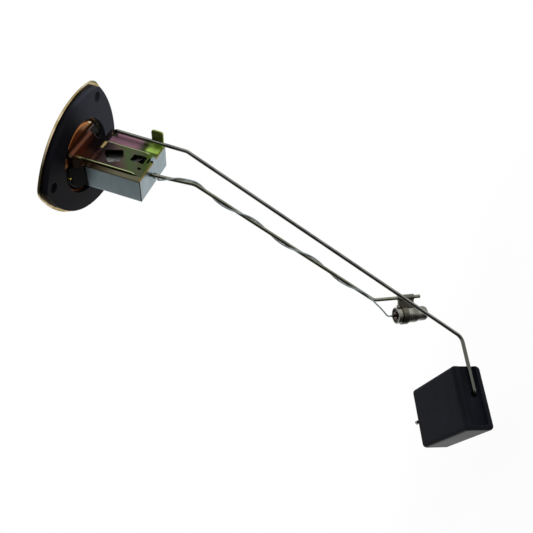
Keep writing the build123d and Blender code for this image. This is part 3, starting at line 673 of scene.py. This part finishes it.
@dataclass(frozen=True)
class DrawnWire(Finish):
    """Bright wire with long draw marks."""

    colour: Colour = tone(136, 137, 133)
    dull: Colour = tone(104, 104, 100)
    run: Point = (-0.10, 0.32, -0.94)
    roughness: float = 0.20
    marked: Pattern = Pattern(2600.0, 2.0, 0.5)
    mark_squeeze: float = 0.03
    patched: Pattern = Pattern(95.0, 4.0, 0.6)
    worn_share: Band = (0.45, 0.75)
    dull_depth: Band = (0.241, 0.247)
    relief: float = 0.00002

    def paint(self, graph: Graph) -> Signal:
        """Builds the shader from draw marks and dull patches; the wire's lower end is dull all over.

        Args:
            graph: The empty graph.

        Returns:
            The shader.
        """
        marks = graph.noise(self.marked, graph.drawn(self.run, self.mark_squeeze))
        patches = graph.noise(self.patched)
        worn = (patches * 0.7 + marks * 0.4).band(*self.worn_share)
        worn = worn.most((graph.at("Z") * -1.0).band(*self.dull_depth))
        colour = graph.mix(worn, self.colour, self.dull)
        rough = patches * 0.18 + marks * 0.08 + (self.roughness - 0.12)
        return self.surface(graph, colour, rough, graph.bump(marks, self.relief, 0.5), 1.0)


@dataclass(frozen=True)
class PlainMetal(Finish):
    """Brass, bronze, silver or spring steel, slightly tarnished."""

    colour: Colour = (0.5, 0.4, 0.2)
    tarnish: Colour = (0.2, 0.15, 0.08)
    roughness: float = 0.3
    clouded: Pattern = Pattern(300.0, 4.0, 0.6)
    specked: Pattern = Pattern(1800.0, 2.0, 0.5)
    tarnish_share: Band = (0.45, 0.72)
    relief: float = 0.00002

    def paint(self, graph: Graph) -> Signal:
        """Builds the shader from tarnish clouds.

        Args:
            graph: The empty graph.

        Returns:
            The shader.
        """
        cloud = graph.noise(self.clouded)
        colour = graph.mix(cloud.band(*self.tarnish_share), self.colour, self.tarnish)
        normal = graph.bump(graph.noise(self.specked), self.relief, 0.5)
        return self.surface(graph, colour, cloud * 0.3 + (self.roughness - 0.12), normal, 1.0)


@dataclass(frozen=True)
class Moulded(Finish):
    """Moulded nylon, acetal or laminate with a fine sparked skin."""

    colour: Colour = tone(24, 24, 27)
    worn: Colour = tone(38, 38, 41)
    roughness: float = 0.5
    grain: float = 1600.0
    shine: float = 0.3
    handled: Pattern = Pattern(110.0, 4.0, 0.6)
    worn_share: Band = (0.5, 0.8)
    relief: float = 0.00004

    def paint(self, graph: Graph) -> Signal:
        """Builds the shader from the tool's grain and slight handling marks.

        Args:
            graph: The empty graph.

        Returns:
            The shader.
        """
        grain = graph.noise(Pattern(self.grain, 3.0, 0.6))
        marks = graph.noise(self.handled)
        colour = graph.mix(marks.band(*self.worn_share), self.colour, self.worn)
        rough = marks * 0.2 + grain * 0.1 + (self.roughness - 0.15)
        return self.surface(graph, colour, rough, graph.bump(grain, self.relief, 0.6), shine=self.shine)


@dataclass(frozen=True)
class GasketRubber(Finish):
    """Black rubber with a mould grain, a faint blue bloom and a painted sheen on its upper side."""

    colour: Colour = tone(13, 13, 17)
    # Blue-grey of the bloom, also used for the painted sheen.
    bloom_and_sheen: Colour = tone(46, 48, 56)
    bloomed: Pattern = Pattern(55.0, 5.0, 0.62)
    pimples: float = 1500.0
    sheen_x: Band = (-0.020, 0.016)
    sheen_y: Band = (0.0, 0.02)
    relief: float = 0.00005
    shine: float = 0.03

    def paint(self, graph: Graph) -> Signal:
        """Builds the shader from fine pimples, bloom and a painted sheen.

        Args:
            graph: The empty graph.

        Returns:
            The shader.
        """
        bloom_and_sheen = graph.noise(self.bloomed)
        # Painted sheen: the blue-grey grows towards +X and fades towards +Y, lighter on the side that faces
        # the light; the noise adds real bloom.
        side = graph.at("X").band(*self.sheen_x) * (1.0 - graph.at("Y").band(*self.sheen_y) * 0.6)
        spread = side * 0.8 + (bloom_and_sheen - 0.5) * 0.7
        colour = graph.mix(spread.band(0.0, 1.0), self.colour, self.bloom_and_sheen)
        normal = graph.bump(graph.cells(self.pimples), self.relief, 0.5)
        return self.surface(graph, colour, bloom_and_sheen * 0.2 + 0.40, normal, shine=self.shine)


@dataclass(frozen=True)
class FloatFoam(Finish):
    """Closed-cell moulded foam: a dark skin with faint upright streaks and tiny cells."""

    colour: Colour = tone(13, 14, 19)
    rubbed: Colour = tone(24, 26, 34)
    upright: Point = (-0.905, 0.177, -0.377)
    cells: float = 2600.0
    mottled: Pattern = Pattern(480.0, 4.0, 0.6)
    streaked: Pattern = Pattern(700.0, 3.0, 0.6)
    streak_squeeze: float = 0.04
    worn: Pattern = Pattern(38.0, 4.0, 0.6)
    rubbed_share: Band = (0.42, 0.80)
    foot_run: Band = (0.1624, 0.1630)
    foot_gloss: Band = (0.62, 0.30)
    skin_relief: float = 0.00008
    cell_relief: float = 0.00005
    shine: float = 0.08

    def paint(self, graph: Graph) -> Signal:
        """Builds the shader from streaks, cells at two sizes and rubbed patches; its foot is glossier.

        Args:
            graph: The empty graph.

        Returns:
            The shader.
        """
        coarse = graph.noise(self.mottled)
        streak = graph.noise(self.streaked, graph.drawn(self.upright, self.streak_squeeze))
        rubbed = graph.noise(self.worn)
        share = (rubbed * 0.7 + streak * 0.4).band(*self.rubbed_share)
        colour = graph.mix(share, self.colour, self.rubbed)
        foot = graph.along(self.upright).band(*self.foot_run).between(*self.foot_gloss)
        skin = graph.bump(coarse * 0.6 + streak * 0.4, self.skin_relief, 0.4)
        normal = graph.bump(graph.cells(self.cells), self.cell_relief, 0.4, below=skin)
        return self.surface(graph, colour, coarse * 0.1 + rubbed * 0.1 + foot, normal, shine=self.shine)


@dataclass(frozen=True)
class LeadSleeve(Finish):
    """Grey-blue lacquered sleeve with a fine braid under it."""

    colour: Colour = tone(168, 176, 178)
    dark: Colour = tone(104, 112, 116)
    braid: float = 3200.0
    smudged: Pattern = Pattern(160.0, 4.0, 0.6)
    dark_share: Band = (0.35, 0.80)
    relief: float = 0.00004
    metallic: float = 0.55

    def paint(self, graph: Graph) -> Signal:
        """Builds the shader from braid cells and smudges.

        Args:
            graph: The empty graph.

        Returns:
            The shader.
        """
        braid = graph.cells(self.braid)
        smudge = graph.noise(self.smudged)
        colour = graph.mix((smudge * 0.8 + braid * 0.3).band(*self.dark_share), self.colour, self.dark)
        normal = graph.bump(braid, self.relief, 0.5)
        return self.surface(graph, colour, smudge * 0.2 + 0.22, normal, self.metallic)


@dataclass(frozen=True)
class TinnedCan(Finish):
    """Dull tinned can with turned bands."""

    colour: Colour = tone(112, 111, 102)
    pale: Colour = tone(158, 157, 146)
    origin: Point = (-0.00234, 0.05571, -0.20596)
    run: Point = (0.490, 0.050, -0.870)
    fine_bands: float = 5200.0
    wide_bands: float = 900.0
    wide_from: float = 0.6
    clouded: Pattern = Pattern(220.0, 4.0, 0.6)
    pale_share: Band = (0.3, 0.85)
    relief: float = 0.00002

    def paint(self, graph: Graph) -> Signal:
        """Builds the shader from bands along the can and fine clouds.

        Args:
            graph: The empty graph.

        Returns:
            The shader.
        """
        depth = graph.along(self.run, self.origin)
        ring = (depth * self.fine_bands).wave()
        wide = (depth * self.wide_bands + self.wide_from).wave()
        cloud = graph.noise(self.clouded)
        colour = graph.mix((wide * 0.3 + cloud * 0.8).band(*self.pale_share), self.colour, self.pale)
        normal = graph.bump(ring * 0.5 + cloud * 0.5, self.relief, 0.4)
        return self.surface(graph, colour, cloud * 0.2 + 0.18, normal, 1.0)


@dataclass(frozen=True)
class StudioPaper(Finish):
    """Pale paper under the object; it looks white and keeps the object's shadow."""

    colour: Colour = (0.9, 0.9, 0.9)
    middle: Place = (0.0, 0.05)
    shadow_fade: Band = (0.16, 0.42)
    whiteness: float = 0.92

    def paint(self, graph: Graph) -> Signal:
        """Builds the shader: white for what looks at it, with some of the shadow kept near the object.

        Args:
            graph: The empty graph.

        Returns:
            The shader.
        """
        paper = graph.node("ShaderNodeBsdfDiffuse", inputs={"Color": self.colour})
        white = graph.node("ShaderNodeEmission", inputs={"Color": WHITE, "Strength": 1.0})
        beyond = graph.away(self.middle).band(*self.shadow_fade).between(self.whiteness, 1.0)
        seen = graph.ray(Ray.CAMERA).most(graph.ray(Ray.MIRRORED)).most(graph.ray(Ray.THROUGH))
        return graph.node("ShaderNodeMixShader", inputs={0: seen * beyond, 1: paper, 2: white})


# Studio


@dataclass(frozen=True)
class Lamp:
    """Soft round lamp: its direction from the sender, distance and diameter in metres, and watts."""

    name: str
    side: Point
    distance: float
    size: float
    power: float


@dataclass
class Studio:
    """Camera at the photograph's place, soft lamps, pale surroundings and floor."""

    camera_at: Point = (-0.2200, -0.2298, -0.1633)
    right: Point = (0.3085, -0.0919, -0.9468)
    up: Point = (0.7274, -0.6185, 0.2971)
    back: Point = (-0.6129, -0.7804, -0.1240)
    lens: float = 37.64
    sensor: float = 36.0
    clip: Band = (0.01, 50.0)
    centre: Point = (0.0, 0.03, -0.13)
    floor_z: float = -0.300
    floor_size: float = 6.0
    sky: float = 0.62
    bright_side: Point = (0.972, 0.077, 0.203)
    shade_run: Band = (-0.64, -0.20)
    shade: float = 0.04
    lamps: tuple[Lamp, ...] = (
        Lamp("key", (-0.20, -0.88, 0.43), 0.62, 0.34, 1.7),
        Lamp("top", (0.87, -0.27, 0.41), 0.62, 0.30, 1.2),
    )

    def build(self) -> None:
        """Sets the stage."""
        scene = bpy.context.scene
        scene.view_settings.view_transform = "Standard"
        self._camera(scene)
        self._world(scene)
        self._floor()
        for lamp in self.lamps:
            self._light(lamp)

    def _camera(self, scene: bpy.types.Scene) -> None:
        """Adds the camera.

        Args:
            scene: The scene.
        """
        data = bpy.data.cameras.new("camera")
        data.lens = self.lens
        data.sensor_width = self.sensor
        data.clip_start, data.clip_end = self.clip
        camera = bpy.data.objects.new("camera", data)
        turn = Matrix((self.right, self.up, self.back)).transposed().to_4x4()
        camera.matrix_world = Matrix.Translation(self.camera_at) @ turn
        scene.collection.objects.link(camera)
        scene.camera = camera

    def _world(self, scene: bpy.types.Scene) -> None:
        """Makes the surroundings: white behind the object, and for metal a white side and a shaded one.

        Args:
            scene: The scene.
        """
        world = bpy.data.worlds.new("studio")
        world.use_nodes = True
        scene.world = world
        graph = Graph(world.node_tree)
        aim = graph.node("ShaderNodeTexCoord", output="Generated")
        facing = graph.vector("DOT_PRODUCT", aim, self.bright_side, "Value")
        side = facing.band(*self.shade_run).between(self.shade, 1.0)
        plain = graph.ray(Ray.CAMERA).most(graph.ray(Ray.THROUGH))
        mirrored = graph.ray(Ray.MIRRORED)
        other = (1.0 - plain) * (1.0 - mirrored)
        strength = plain + mirrored * (1.0 - plain) * side + other * self.sky
        light = graph.node("ShaderNodeBackground", inputs={"Color": WHITE, "Strength": strength})
        graph.node("ShaderNodeOutputWorld", inputs={"Surface": light})

    def _floor(self) -> None:
        """Lays the paper below the float."""
        bpy.ops.object.select_all(action="DESELECT")
        bpy.ops.mesh.primitive_plane_add(size=self.floor_size, location=(0.0, 0.0, self.floor_z))
        floor = bpy.context.active_object
        floor.name = "paper_floor"
        bpy.ops.object.transform_apply(location=True, rotation=True, scale=True)
        floor.data.materials.append(StudioPaper("studio_paper").material())
        floor.visible_glossy = False

    def _light(self, lamp: Lamp) -> None:
        """Adds one soft lamp aimed at the sender.

        Args:
            lamp: The lamp's values.
        """
        data = bpy.data.lights.new(lamp.name, "AREA")
        data.shape = "DISK"
        data.size = lamp.size
        data.energy = lamp.power
        light = bpy.data.objects.new(lamp.name, data)
        towards = Vector(lamp.side).normalized()
        turn = towards.to_track_quat("Z", "Y").to_matrix().to_4x4()
        light.matrix_world = Matrix.Translation(Vector(self.centre) + towards * lamp.distance) @ turn
        light.visible_glossy = False
        bpy.context.scene.collection.objects.link(light)


# Modelling


class Bench:
    """Edit-mode modelling steps on one new mesh object."""

    @staticmethod
    def clear() -> None:
        """Deselects every object."""
        if bpy.context.object is not None and bpy.context.object.mode != "OBJECT":
            bpy.ops.object.mode_set(mode="OBJECT")
        bpy.ops.object.select_all(action="DESELECT")

    @staticmethod
    def only(piece: bpy.types.Object) -> None:
        """Selects one object and makes it the active one.

        Args:
            piece: The object.
        """
        Bench.clear()
        piece.select_set(True)
        bpy.context.view_layer.objects.active = piece

    @staticmethod
    def pick(piece: bpy.types.Object, wanted: Callable[[Vector], bool], part: Part = Part.VERTICES) -> None:
        """Selects the vertices or edges whose place passes a test, in edit mode afterwards.

        Args:
            piece: The object, which is the active one.
            wanted: The test on a place in metres.
            part: What is picked.
        """
        bpy.ops.object.mode_set(mode="EDIT")
        bpy.ops.mesh.select_mode(type=part.value)
        bpy.ops.mesh.select_all(action="DESELECT")
        bpy.ops.object.mode_set(mode="OBJECT")
        points = piece.data.vertices
        for item in points if part is Part.VERTICES else piece.data.edges:
            ends = (item,) if part is Part.VERTICES else [points[k] for k in item.vertices]
            item.select = wanted(sum((end.co for end in ends), Vector()) / len(ends))
        bpy.ops.object.mode_set(mode="EDIT")

    @staticmethod
    def add_modifier(piece: bpy.types.Object, kind: str, **settings: object) -> None:
        """Adds one modifier and applies it.

        Args:
            piece: The object.
            kind: The modifier's type.
            settings: Its properties.
        """
        Bench.only(piece)
        made = piece.modifiers.new(kind.lower(), kind)
        for key, value in settings.items():
            setattr(made, key, value)
        bpy.ops.object.modifier_apply(modifier=made.name)

    @staticmethod
    def settle(piece: bpy.types.Object, smooth: float = math.radians(40)) -> None:
        """Moves the object's place into its mesh and smooths its gentle angles.

        Args:
            piece: The object.
            smooth: The steepest angle that is smoothed, in radians.
        """
        Bench.only(piece)
        bpy.ops.object.transform_apply(location=True, rotation=True, scale=True)
        bpy.ops.object.shade_smooth_by_angle(angle=smooth)

    @staticmethod
    def join(pieces: Sequence[bpy.types.Object], name: str) -> bpy.types.Object:
        """Joins objects into the first one.

        Args:
            pieces: The objects, each with its own mesh.
            name: The new name.

        Returns:
            The joined object.
        """
        Bench.only(pieces[0])
        for piece in pieces:
            piece.select_set(True)
        bpy.ops.object.join()
        pieces[0].name = name
        return pieces[0]


# Sub-assemblies


@dataclass
class SubAssembly:
    """CAD nodes and new pieces that share a place on the sender, with their finishes."""

    nodes: Mapping[str, bpy.types.Object]
    made: dict[str, bpy.types.Material]
    merge_reach: float = 0.000005
    lead_swell: float = 0.00008

    def paint(self, piece: bpy.types.Object, finish: Finish) -> None:
        """Gives a piece its finish.

        Args:
            piece: The CAD node or new piece.
            finish: The finish; its material is made once and shared.
        """
        if finish.name not in self.made:
            self.made[finish.name] = finish.material()
        piece.data.materials.clear()
        piece.data.materials.append(self.made[finish.name])
        LOG.info("dressed %s with %s", piece.name, finish.name)

    def dress(self, finishes: Mapping[str, Finish]) -> None:
        """Gives CAD nodes their finishes by name."""
        for node, finish in finishes.items():
            self.paint(self.nodes[node], finish)

    def fit(self, piece: bpy.types.Object, body: Body, slot: str, finish: Finish, *stands_for: str) -> None:
        """Sets a new piece on its body.

        Args:
            piece: The new piece.
            body: The body that it moves with.
            slot: The record's material slot; not used.
            finish: Its finish.
            stands_for: The CAD nodes that it replaces.
        """
        self.paint(piece, finish)
        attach(piece, body.value)
        if stands_for:
            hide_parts(*stands_for)
        LOG.info("made %s with %d faces", piece.name, len(piece.data.polygons))

    def rounded(self, node: str, name: str) -> bpy.types.Object:
        """Smooth round copy of a lead whose solid has flat sides, swelled first against shrinking.

        Args:
            node: The CAD node.
            name: The new piece's name.

        Returns:
            The new piece.
        """
        piece = bpy.data.objects.new(name, self.nodes[node].data.copy())
        bpy.context.scene.collection.objects.link(piece)
        Bench.only(piece)
        bpy.ops.object.mode_set(mode="EDIT")
        bpy.ops.mesh.select_all(action="SELECT")
        bpy.ops.mesh.remove_doubles(threshold=self.merge_reach)
        bpy.ops.mesh.tris_convert_to_quads()
        bpy.ops.mesh.normals_make_consistent(inside=False)
        bpy.ops.transform.shrink_fatten(value=self.lead_swell)
        bpy.ops.object.mode_set(mode="OBJECT")
        Bench.add_modifier(piece, "SUBSURF", levels=2, render_levels=2)
        bpy.ops.object.shade_smooth()
        return piece

    def solder(self, name: str, place: Point, size: float, run: Point) -> bpy.types.Object:
        """Solder fillet: a bead drawn out along the lead and flat where it wets the metal.

        Args:
            name: The piece's name.
            place: Centre of its foot in metres.
            size: Its radius in metres.
            run: Direction in which it is drawn out.

        Returns:
            The new piece.
        """
        Bench.clear()
        bpy.ops.mesh.primitive_uv_sphere_add(segments=24, ring_count=14, radius=size)
        piece = bpy.context.active_object
        piece.name = name
        shoulder, stretch, neck, narrow, foot = size * 0.3, size * 0.8, size * 1.2, 0.6, size * -0.25
        Bench.pick(piece, lambda p: p.z > shoulder)
        bpy.ops.transform.translate(value=(0.0, 0.0, stretch))
        Bench.pick(piece, lambda p: p.z > neck)
        bpy.ops.transform.resize(value=(narrow, narrow, 1.0))
        Bench.pick(piece, lambda p: True)
        bpy.ops.mesh.bisect(plane_co=(0, 0, foot), plane_no=(0, 0, 1), use_fill=True, clear_inner=True)
        bpy.ops.object.mode_set(mode="OBJECT")
        turn = Vector(run).normalized().to_track_quat("Z", "Y").to_matrix().to_4x4()
        piece.matrix_world = Matrix.Translation(place) @ turn
        Bench.settle(piece)
        return piece


# Film colours of the boss; the pale last stop is also a painted highlight on the boss's upper tip.
BOSS_TINTS = tuple(
    tone(*parts)
    for parts in ((176, 112, 58), (172, 106, 58), (158, 104, 56), (162, 128, 74), (198, 184, 138))
)
BRACKET_TINTS = tuple(
    tone(*parts)
    for parts in (
        (96, 58, 42), (92, 60, 50), (60, 44, 44), (48, 38, 38), (78, 62, 58),
        (66, 82, 50), (74, 78, 60), (60, 74, 36), (84, 104, 44),
    )
)
PLATE_ZINC = FlangeZinc("flange_zinc", BOSS_TINTS, (22.0, 9.0, 0.0), (-0.022, 0.0, 0.0))
BRACKET_ZINC = BracketZinc("bracket_zinc", BRACKET_TINTS, (12.0, 0.0, -22.7), (0.001, 0.0, 0.0), 0.22)
HOUSING_ZINC = BrightZinc("housing_zinc")
CLIP_ZINC = BrightZinc("clip_zinc", tone(94, 91, 82), tone(114, 111, 100), 0.34)
BRASS = PlainMetal("turned_brass", (0.50, 0.38, 0.16), (0.24, 0.17, 0.08), 0.28)
BLADE_BRASS = PlainMetal("blade_brass", tone(58, 52, 44), tone(34, 30, 28), 0.34)
DULL_BRASS = PlainMetal("eyelet_brass", tone(86, 74, 66), tone(50, 42, 44), 0.34)
BRONZE = PlainMetal("leaf_bronze", (0.45, 0.24, 0.12), (0.20, 0.11, 0.06), 0.30)
SILVER = PlainMetal("contact_silver", (0.60, 0.60, 0.58), (0.30, 0.29, 0.27), 0.22)
SPRING = PlainMetal("spring_steel", (0.10, 0.10, 0.11), (0.05, 0.05, 0.055), 0.32)
WINDING = PlainMetal("resistance_wire", tone(206, 207, 207), tone(146, 146, 146), 0.34)
SOLDER = PlainMetal("solder", tone(150, 152, 152), tone(104, 106, 108), 0.26)
NYLON = Moulded("black_nylon")
DARK_NYLON = Moulded("insulator_nylon", tone(12, 11, 11), tone(18, 17, 16), 0.7, 1600.0, 0.02)
BUSH = Moulded("acetal_bush", tone(60, 58, 42), tone(78, 74, 54), 0.42, 1200.0)
LAMINATE = Moulded("card_laminate", tone(58, 42, 32), tone(74, 56, 42), 0.55, 2400.0)
END_DISC = Moulded("sensor_disc", tone(52, 44, 52), tone(76, 64, 74), 0.45, 2000.0)
SLEEVE = LeadSleeve("lead_sleeve")
ARM_WIRE = DrawnWire("arm_wire", tone(138, 138, 133), tone(88, 90, 84))
ROD_WIRE = DrawnWire("rod_wire", tone(142, 144, 128), tone(104, 108, 92), (0.0, 0.40, -0.92), 0.26)


@dataclass
class Flange(SubAssembly):
    """Plate, gasket, terminal block, insulator and the live terminals."""

    weld_places: tuple[Place, ...] = ((-0.0105, -0.0136), (-0.0035, -0.0138))
    weld_z: float = 0.0031
    weld_radius: float = 0.0013
    weld_steps: tuple[Band, ...] = ((0.25, 0.00016), (0.18, 0.0), (0.25, -0.00011))
    weld_smooth: float = math.radians(60)

    def build(self) -> None:
        """Dresses the nodes and presses the weld marks."""
        self.dress(
            {
                "flange_plate": PLATE_ZINC,
                "flange_gasket": GasketRubber("gasket_rubber"),
                "terminal_block": NYLON,
                "signal_terminal": BRASS,
                "warning_terminal": BRASS,
                "ground_terminal": BLADE_BRASS,
                "inner_insulator": DARK_NYLON,
            }
        )
        marks = [self._weld_mark(place) for place in self.weld_places]
        piece = Bench.join(marks, "spot_welds")
        self.fit(piece, Body.SENDER, "zinc_yellow", PLATE_ZINC)

    def _weld_mark(self, place: Place) -> bpy.types.Object:
        """Ring with a hollow middle, as a welding tip leaves it.

        Args:
            place: Its centre's X and Y in metres.

        Returns:
            The ring.
        """
        Bench.clear()
        bpy.ops.mesh.primitive_circle_add(
            vertices=32, radius=self.weld_radius, fill_type="NGON", location=(*place, self.weld_z)
        )
        piece = bpy.context.active_object
        bpy.ops.object.mode_set(mode="EDIT")
        bpy.ops.mesh.select_all(action="SELECT")
        for share, height in self.weld_steps:
            bpy.ops.mesh.inset(thickness=self.weld_radius * share, depth=height)
        bpy.ops.object.mode_set(mode="OBJECT")
        Bench.settle(piece, self.weld_smooth)
        return piece


@dataclass
class Bracket(SubAssembly):
    """Bracket sheet, housing and the resistor inside."""

    pivot: Point = (0.0144, 0.0, -0.0125)
    card_radii: tuple[float, float] = (0.0150, 0.0255)
    card_y: tuple[float, float] = (-0.0074, -0.0060)
    angles: tuple[float, float] = (7.4, 83.6)
    turns: int = 44
    wire: float = 0.00024
    wire_clearance: float = 1.1
    turn_round: float = 0.0004

    def build(self) -> None:
        """Dresses the nodes, winds the card and rounds the lead."""
        self.dress(
            {
                "support_bracket": BRACKET_ZINC,
                "resistor_housing": HOUSING_ZINC,
                "resistor_card": LAMINATE,
                "card_rivets": BRACKET_ZINC,
                "pivot_bush_upper": BUSH,
                "pivot_bush_lower": BUSH,
                "rod_ferrule": HOUSING_ZINC,
                "lead_grommet": NYLON,
            }
        )
        self.fit(self._winding(), Body.SENDER, "winding_wire", WINDING, "resistance_winding")
        lead = self.rounded("signal_lead", "signal_lead_round")
        self.fit(lead, Body.SENDER, "lead_sleeve", SLEEVE, "signal_lead")

    def _winding(self) -> bpy.types.Object:
        """Winds one turn round the card's section and copies it about the pivot.

        Returns:
            All the turns as one piece.
        """
        first = self._turn()
        pivot = Matrix.Translation(self.pivot)
        step = math.radians((self.angles[1] - self.angles[0]) / (self.turns - 1))
        loops = []
        for k in range(self.turns):
            loop = bpy.data.objects.new("turn", first.data.copy())
            bpy.context.scene.collection.objects.link(loop)
            angle = math.radians(self.angles[0]) + step * k
            loop.data.transform(pivot @ Matrix.Rotation(angle, 4, "Y"))
            loops.append(loop)
        bpy.data.objects.remove(first)
        return Bench.join(loops, "winding_turns")

    def _turn(self) -> bpy.types.Object:
        """One closed turn about the card's section, hanging straight down from the pivot.

        Returns:
            The turn, still at the origin.
        """
        low, high = self.card_radii
        middle = (0.0, sum(self.card_y) / 2, -(low + high) / 2)
        Bench.clear()
        bpy.ops.mesh.primitive_plane_add(size=1.0)
        piece = bpy.context.active_object
        gap = self.wire * self.wire_clearance
        piece.scale = (high - low + 2 * gap, self.card_y[1] - self.card_y[0] + 2 * gap, 1.0)
        piece.rotation_euler = (0.0, math.radians(90), 0.0)
        piece.location = middle
        bpy.ops.object.transform_apply(location=True, rotation=True, scale=True)
        bpy.ops.object.mode_set(mode="EDIT")
        bpy.ops.mesh.select_all(action="SELECT")
        bpy.ops.mesh.bevel(offset=self.turn_round, segments=2, affect="VERTICES")
        bpy.ops.mesh.delete(type="ONLY_FACE")
        bpy.ops.object.mode_set(mode="OBJECT")
        bpy.ops.object.convert(target="CURVE")
        piece = bpy.context.active_object
        piece.data.bevel_depth = self.wire
        piece.data.bevel_resolution = 1
        bpy.ops.object.convert(target="MESH")
        piece = bpy.context.active_object
        bpy.ops.object.shade_smooth()
        return piece


@dataclass
class FloatArm(SubAssembly):
    """Swinging wire with its float, wiper and push-on ring."""

    shaft: Point = (0.0144, 0.0075, -0.0125)
    ring_points: int = 48
    ring_radius: float = 0.0029
    ring_thickness: float = 0.00032
    ring_bevel: float = 0.00005
    prong_root: float = 0.0021
    prong_tip: float = 0.00122
    prong_lean: float = 0.0004
    prong_pitch: float = 60.0
    prong_width: float = 45.0

    def build(self) -> None:
        """Dresses the nodes and makes the ring."""
        self.dress(
            {
                "float_arm": ARM_WIRE,
                "float": FloatFoam("float_foam"),
                "wiper_hub": NYLON,
                "wiper_blade": BRONZE,
                "wiper_contact": SILVER,
            }
        )
        self.fit(self._push_ring(), Body.ARM, "spring_steel", SPRING, "retaining_ring")

    def _push_ring(self) -> bpy.types.Object:
        """Push-on ring: a flat rim with sprung prongs that lean outwards round the shaft.

        Returns:
            The ring.
        """
        Bench.clear()
        bpy.ops.mesh.primitive_circle_add(
            vertices=self.ring_points, radius=self.ring_radius, fill_type="NOTHING"
        )
        piece = bpy.context.active_object
        piece.name = "push_on_ring"
        bpy.ops.object.mode_set(mode="EDIT")
        bpy.ops.mesh.select_all(action="SELECT")
        shrink = self.prong_root / self.ring_radius
        bpy.ops.mesh.extrude_edges_move()
        bpy.ops.transform.resize(value=(shrink, shrink, 1.0))
        middle = self.prong_root * math.cos(math.pi / self.ring_points)
        reach = self.prong_root * 0.03

        def on_prong(place: Vector) -> bool:
            """Whether an edge's middle lies on the root circle, where a prong stands."""
            turn = math.degrees(math.atan2(place.y, place.x)) % self.prong_pitch
            return abs(place.xy.length - middle) < reach and turn < self.prong_width

        Bench.pick(piece, on_prong, Part.EDGES)
        bpy.ops.mesh.extrude_edges_move()
        grip = self.prong_tip / self.prong_root
        bpy.ops.transform.resize(value=(grip, grip, 1.0))
        bpy.ops.transform.translate(value=(0.0, 0.0, self.prong_lean))
        bpy.ops.object.mode_set(mode="OBJECT")
        Bench.add_modifier(piece, "SOLIDIFY", thickness=self.ring_thickness, offset=0.0)
        Bench.add_modifier(piece, "BEVEL", width=self.ring_bevel, segments=2, limit_method="ANGLE")
        turn = Matrix.Rotation(math.radians(-90), 4, "X")
        piece.matrix_world = Matrix.Translation(self.shaft) @ turn
        Bench.settle(piece)
        return piece


@dataclass
class LowFuelSensor(SubAssembly):
    """Rod, wound lead, clip and can."""

    eyelet: Point = (-0.00352, 0.05559, -0.20386)
    eyelet_run: Point = (-0.490, -0.050, 0.870)
    bead_radius: float = 0.00078

    def build(self) -> None:
        """Dresses the nodes, rounds the lead and solders its end."""
        self.dress(
            {
                "sensor_rod": ROD_WIRE,
                "sensor_clip": CLIP_ZINC,
                "sensor_can": TinnedCan("tinned_can"),
                "sensor_end_cap": END_DISC,
                "sensor_terminal": DULL_BRASS,
            }
        )
        lead = self.rounded("sensor_lead", "sensor_lead_round")
        self.fit(lead, Body.SENDER, "lead_sleeve", SLEEVE, "sensor_lead")
        bead = self.solder("eyelet_solder", self.eyelet, self.bead_radius, self.eyelet_run)
        self.fit(bead, Body.SENDER, "zinc_silver", SOLDER)


def main() -> None:
    """Builds the dressed sender."""
    logging.basicConfig(level=logging.INFO, format="%(message)s")
    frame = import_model()
    bpy.ops.object.select_all(action="DESELECT")
    Studio().build()
    made: dict[str, bpy.types.Material] = {}
    for assembly in (Flange, Bracket, FloatArm, LowFuelSensor):
        assembly(frame["nodes"], made).build()


if __name__ == "__main__":
    main()
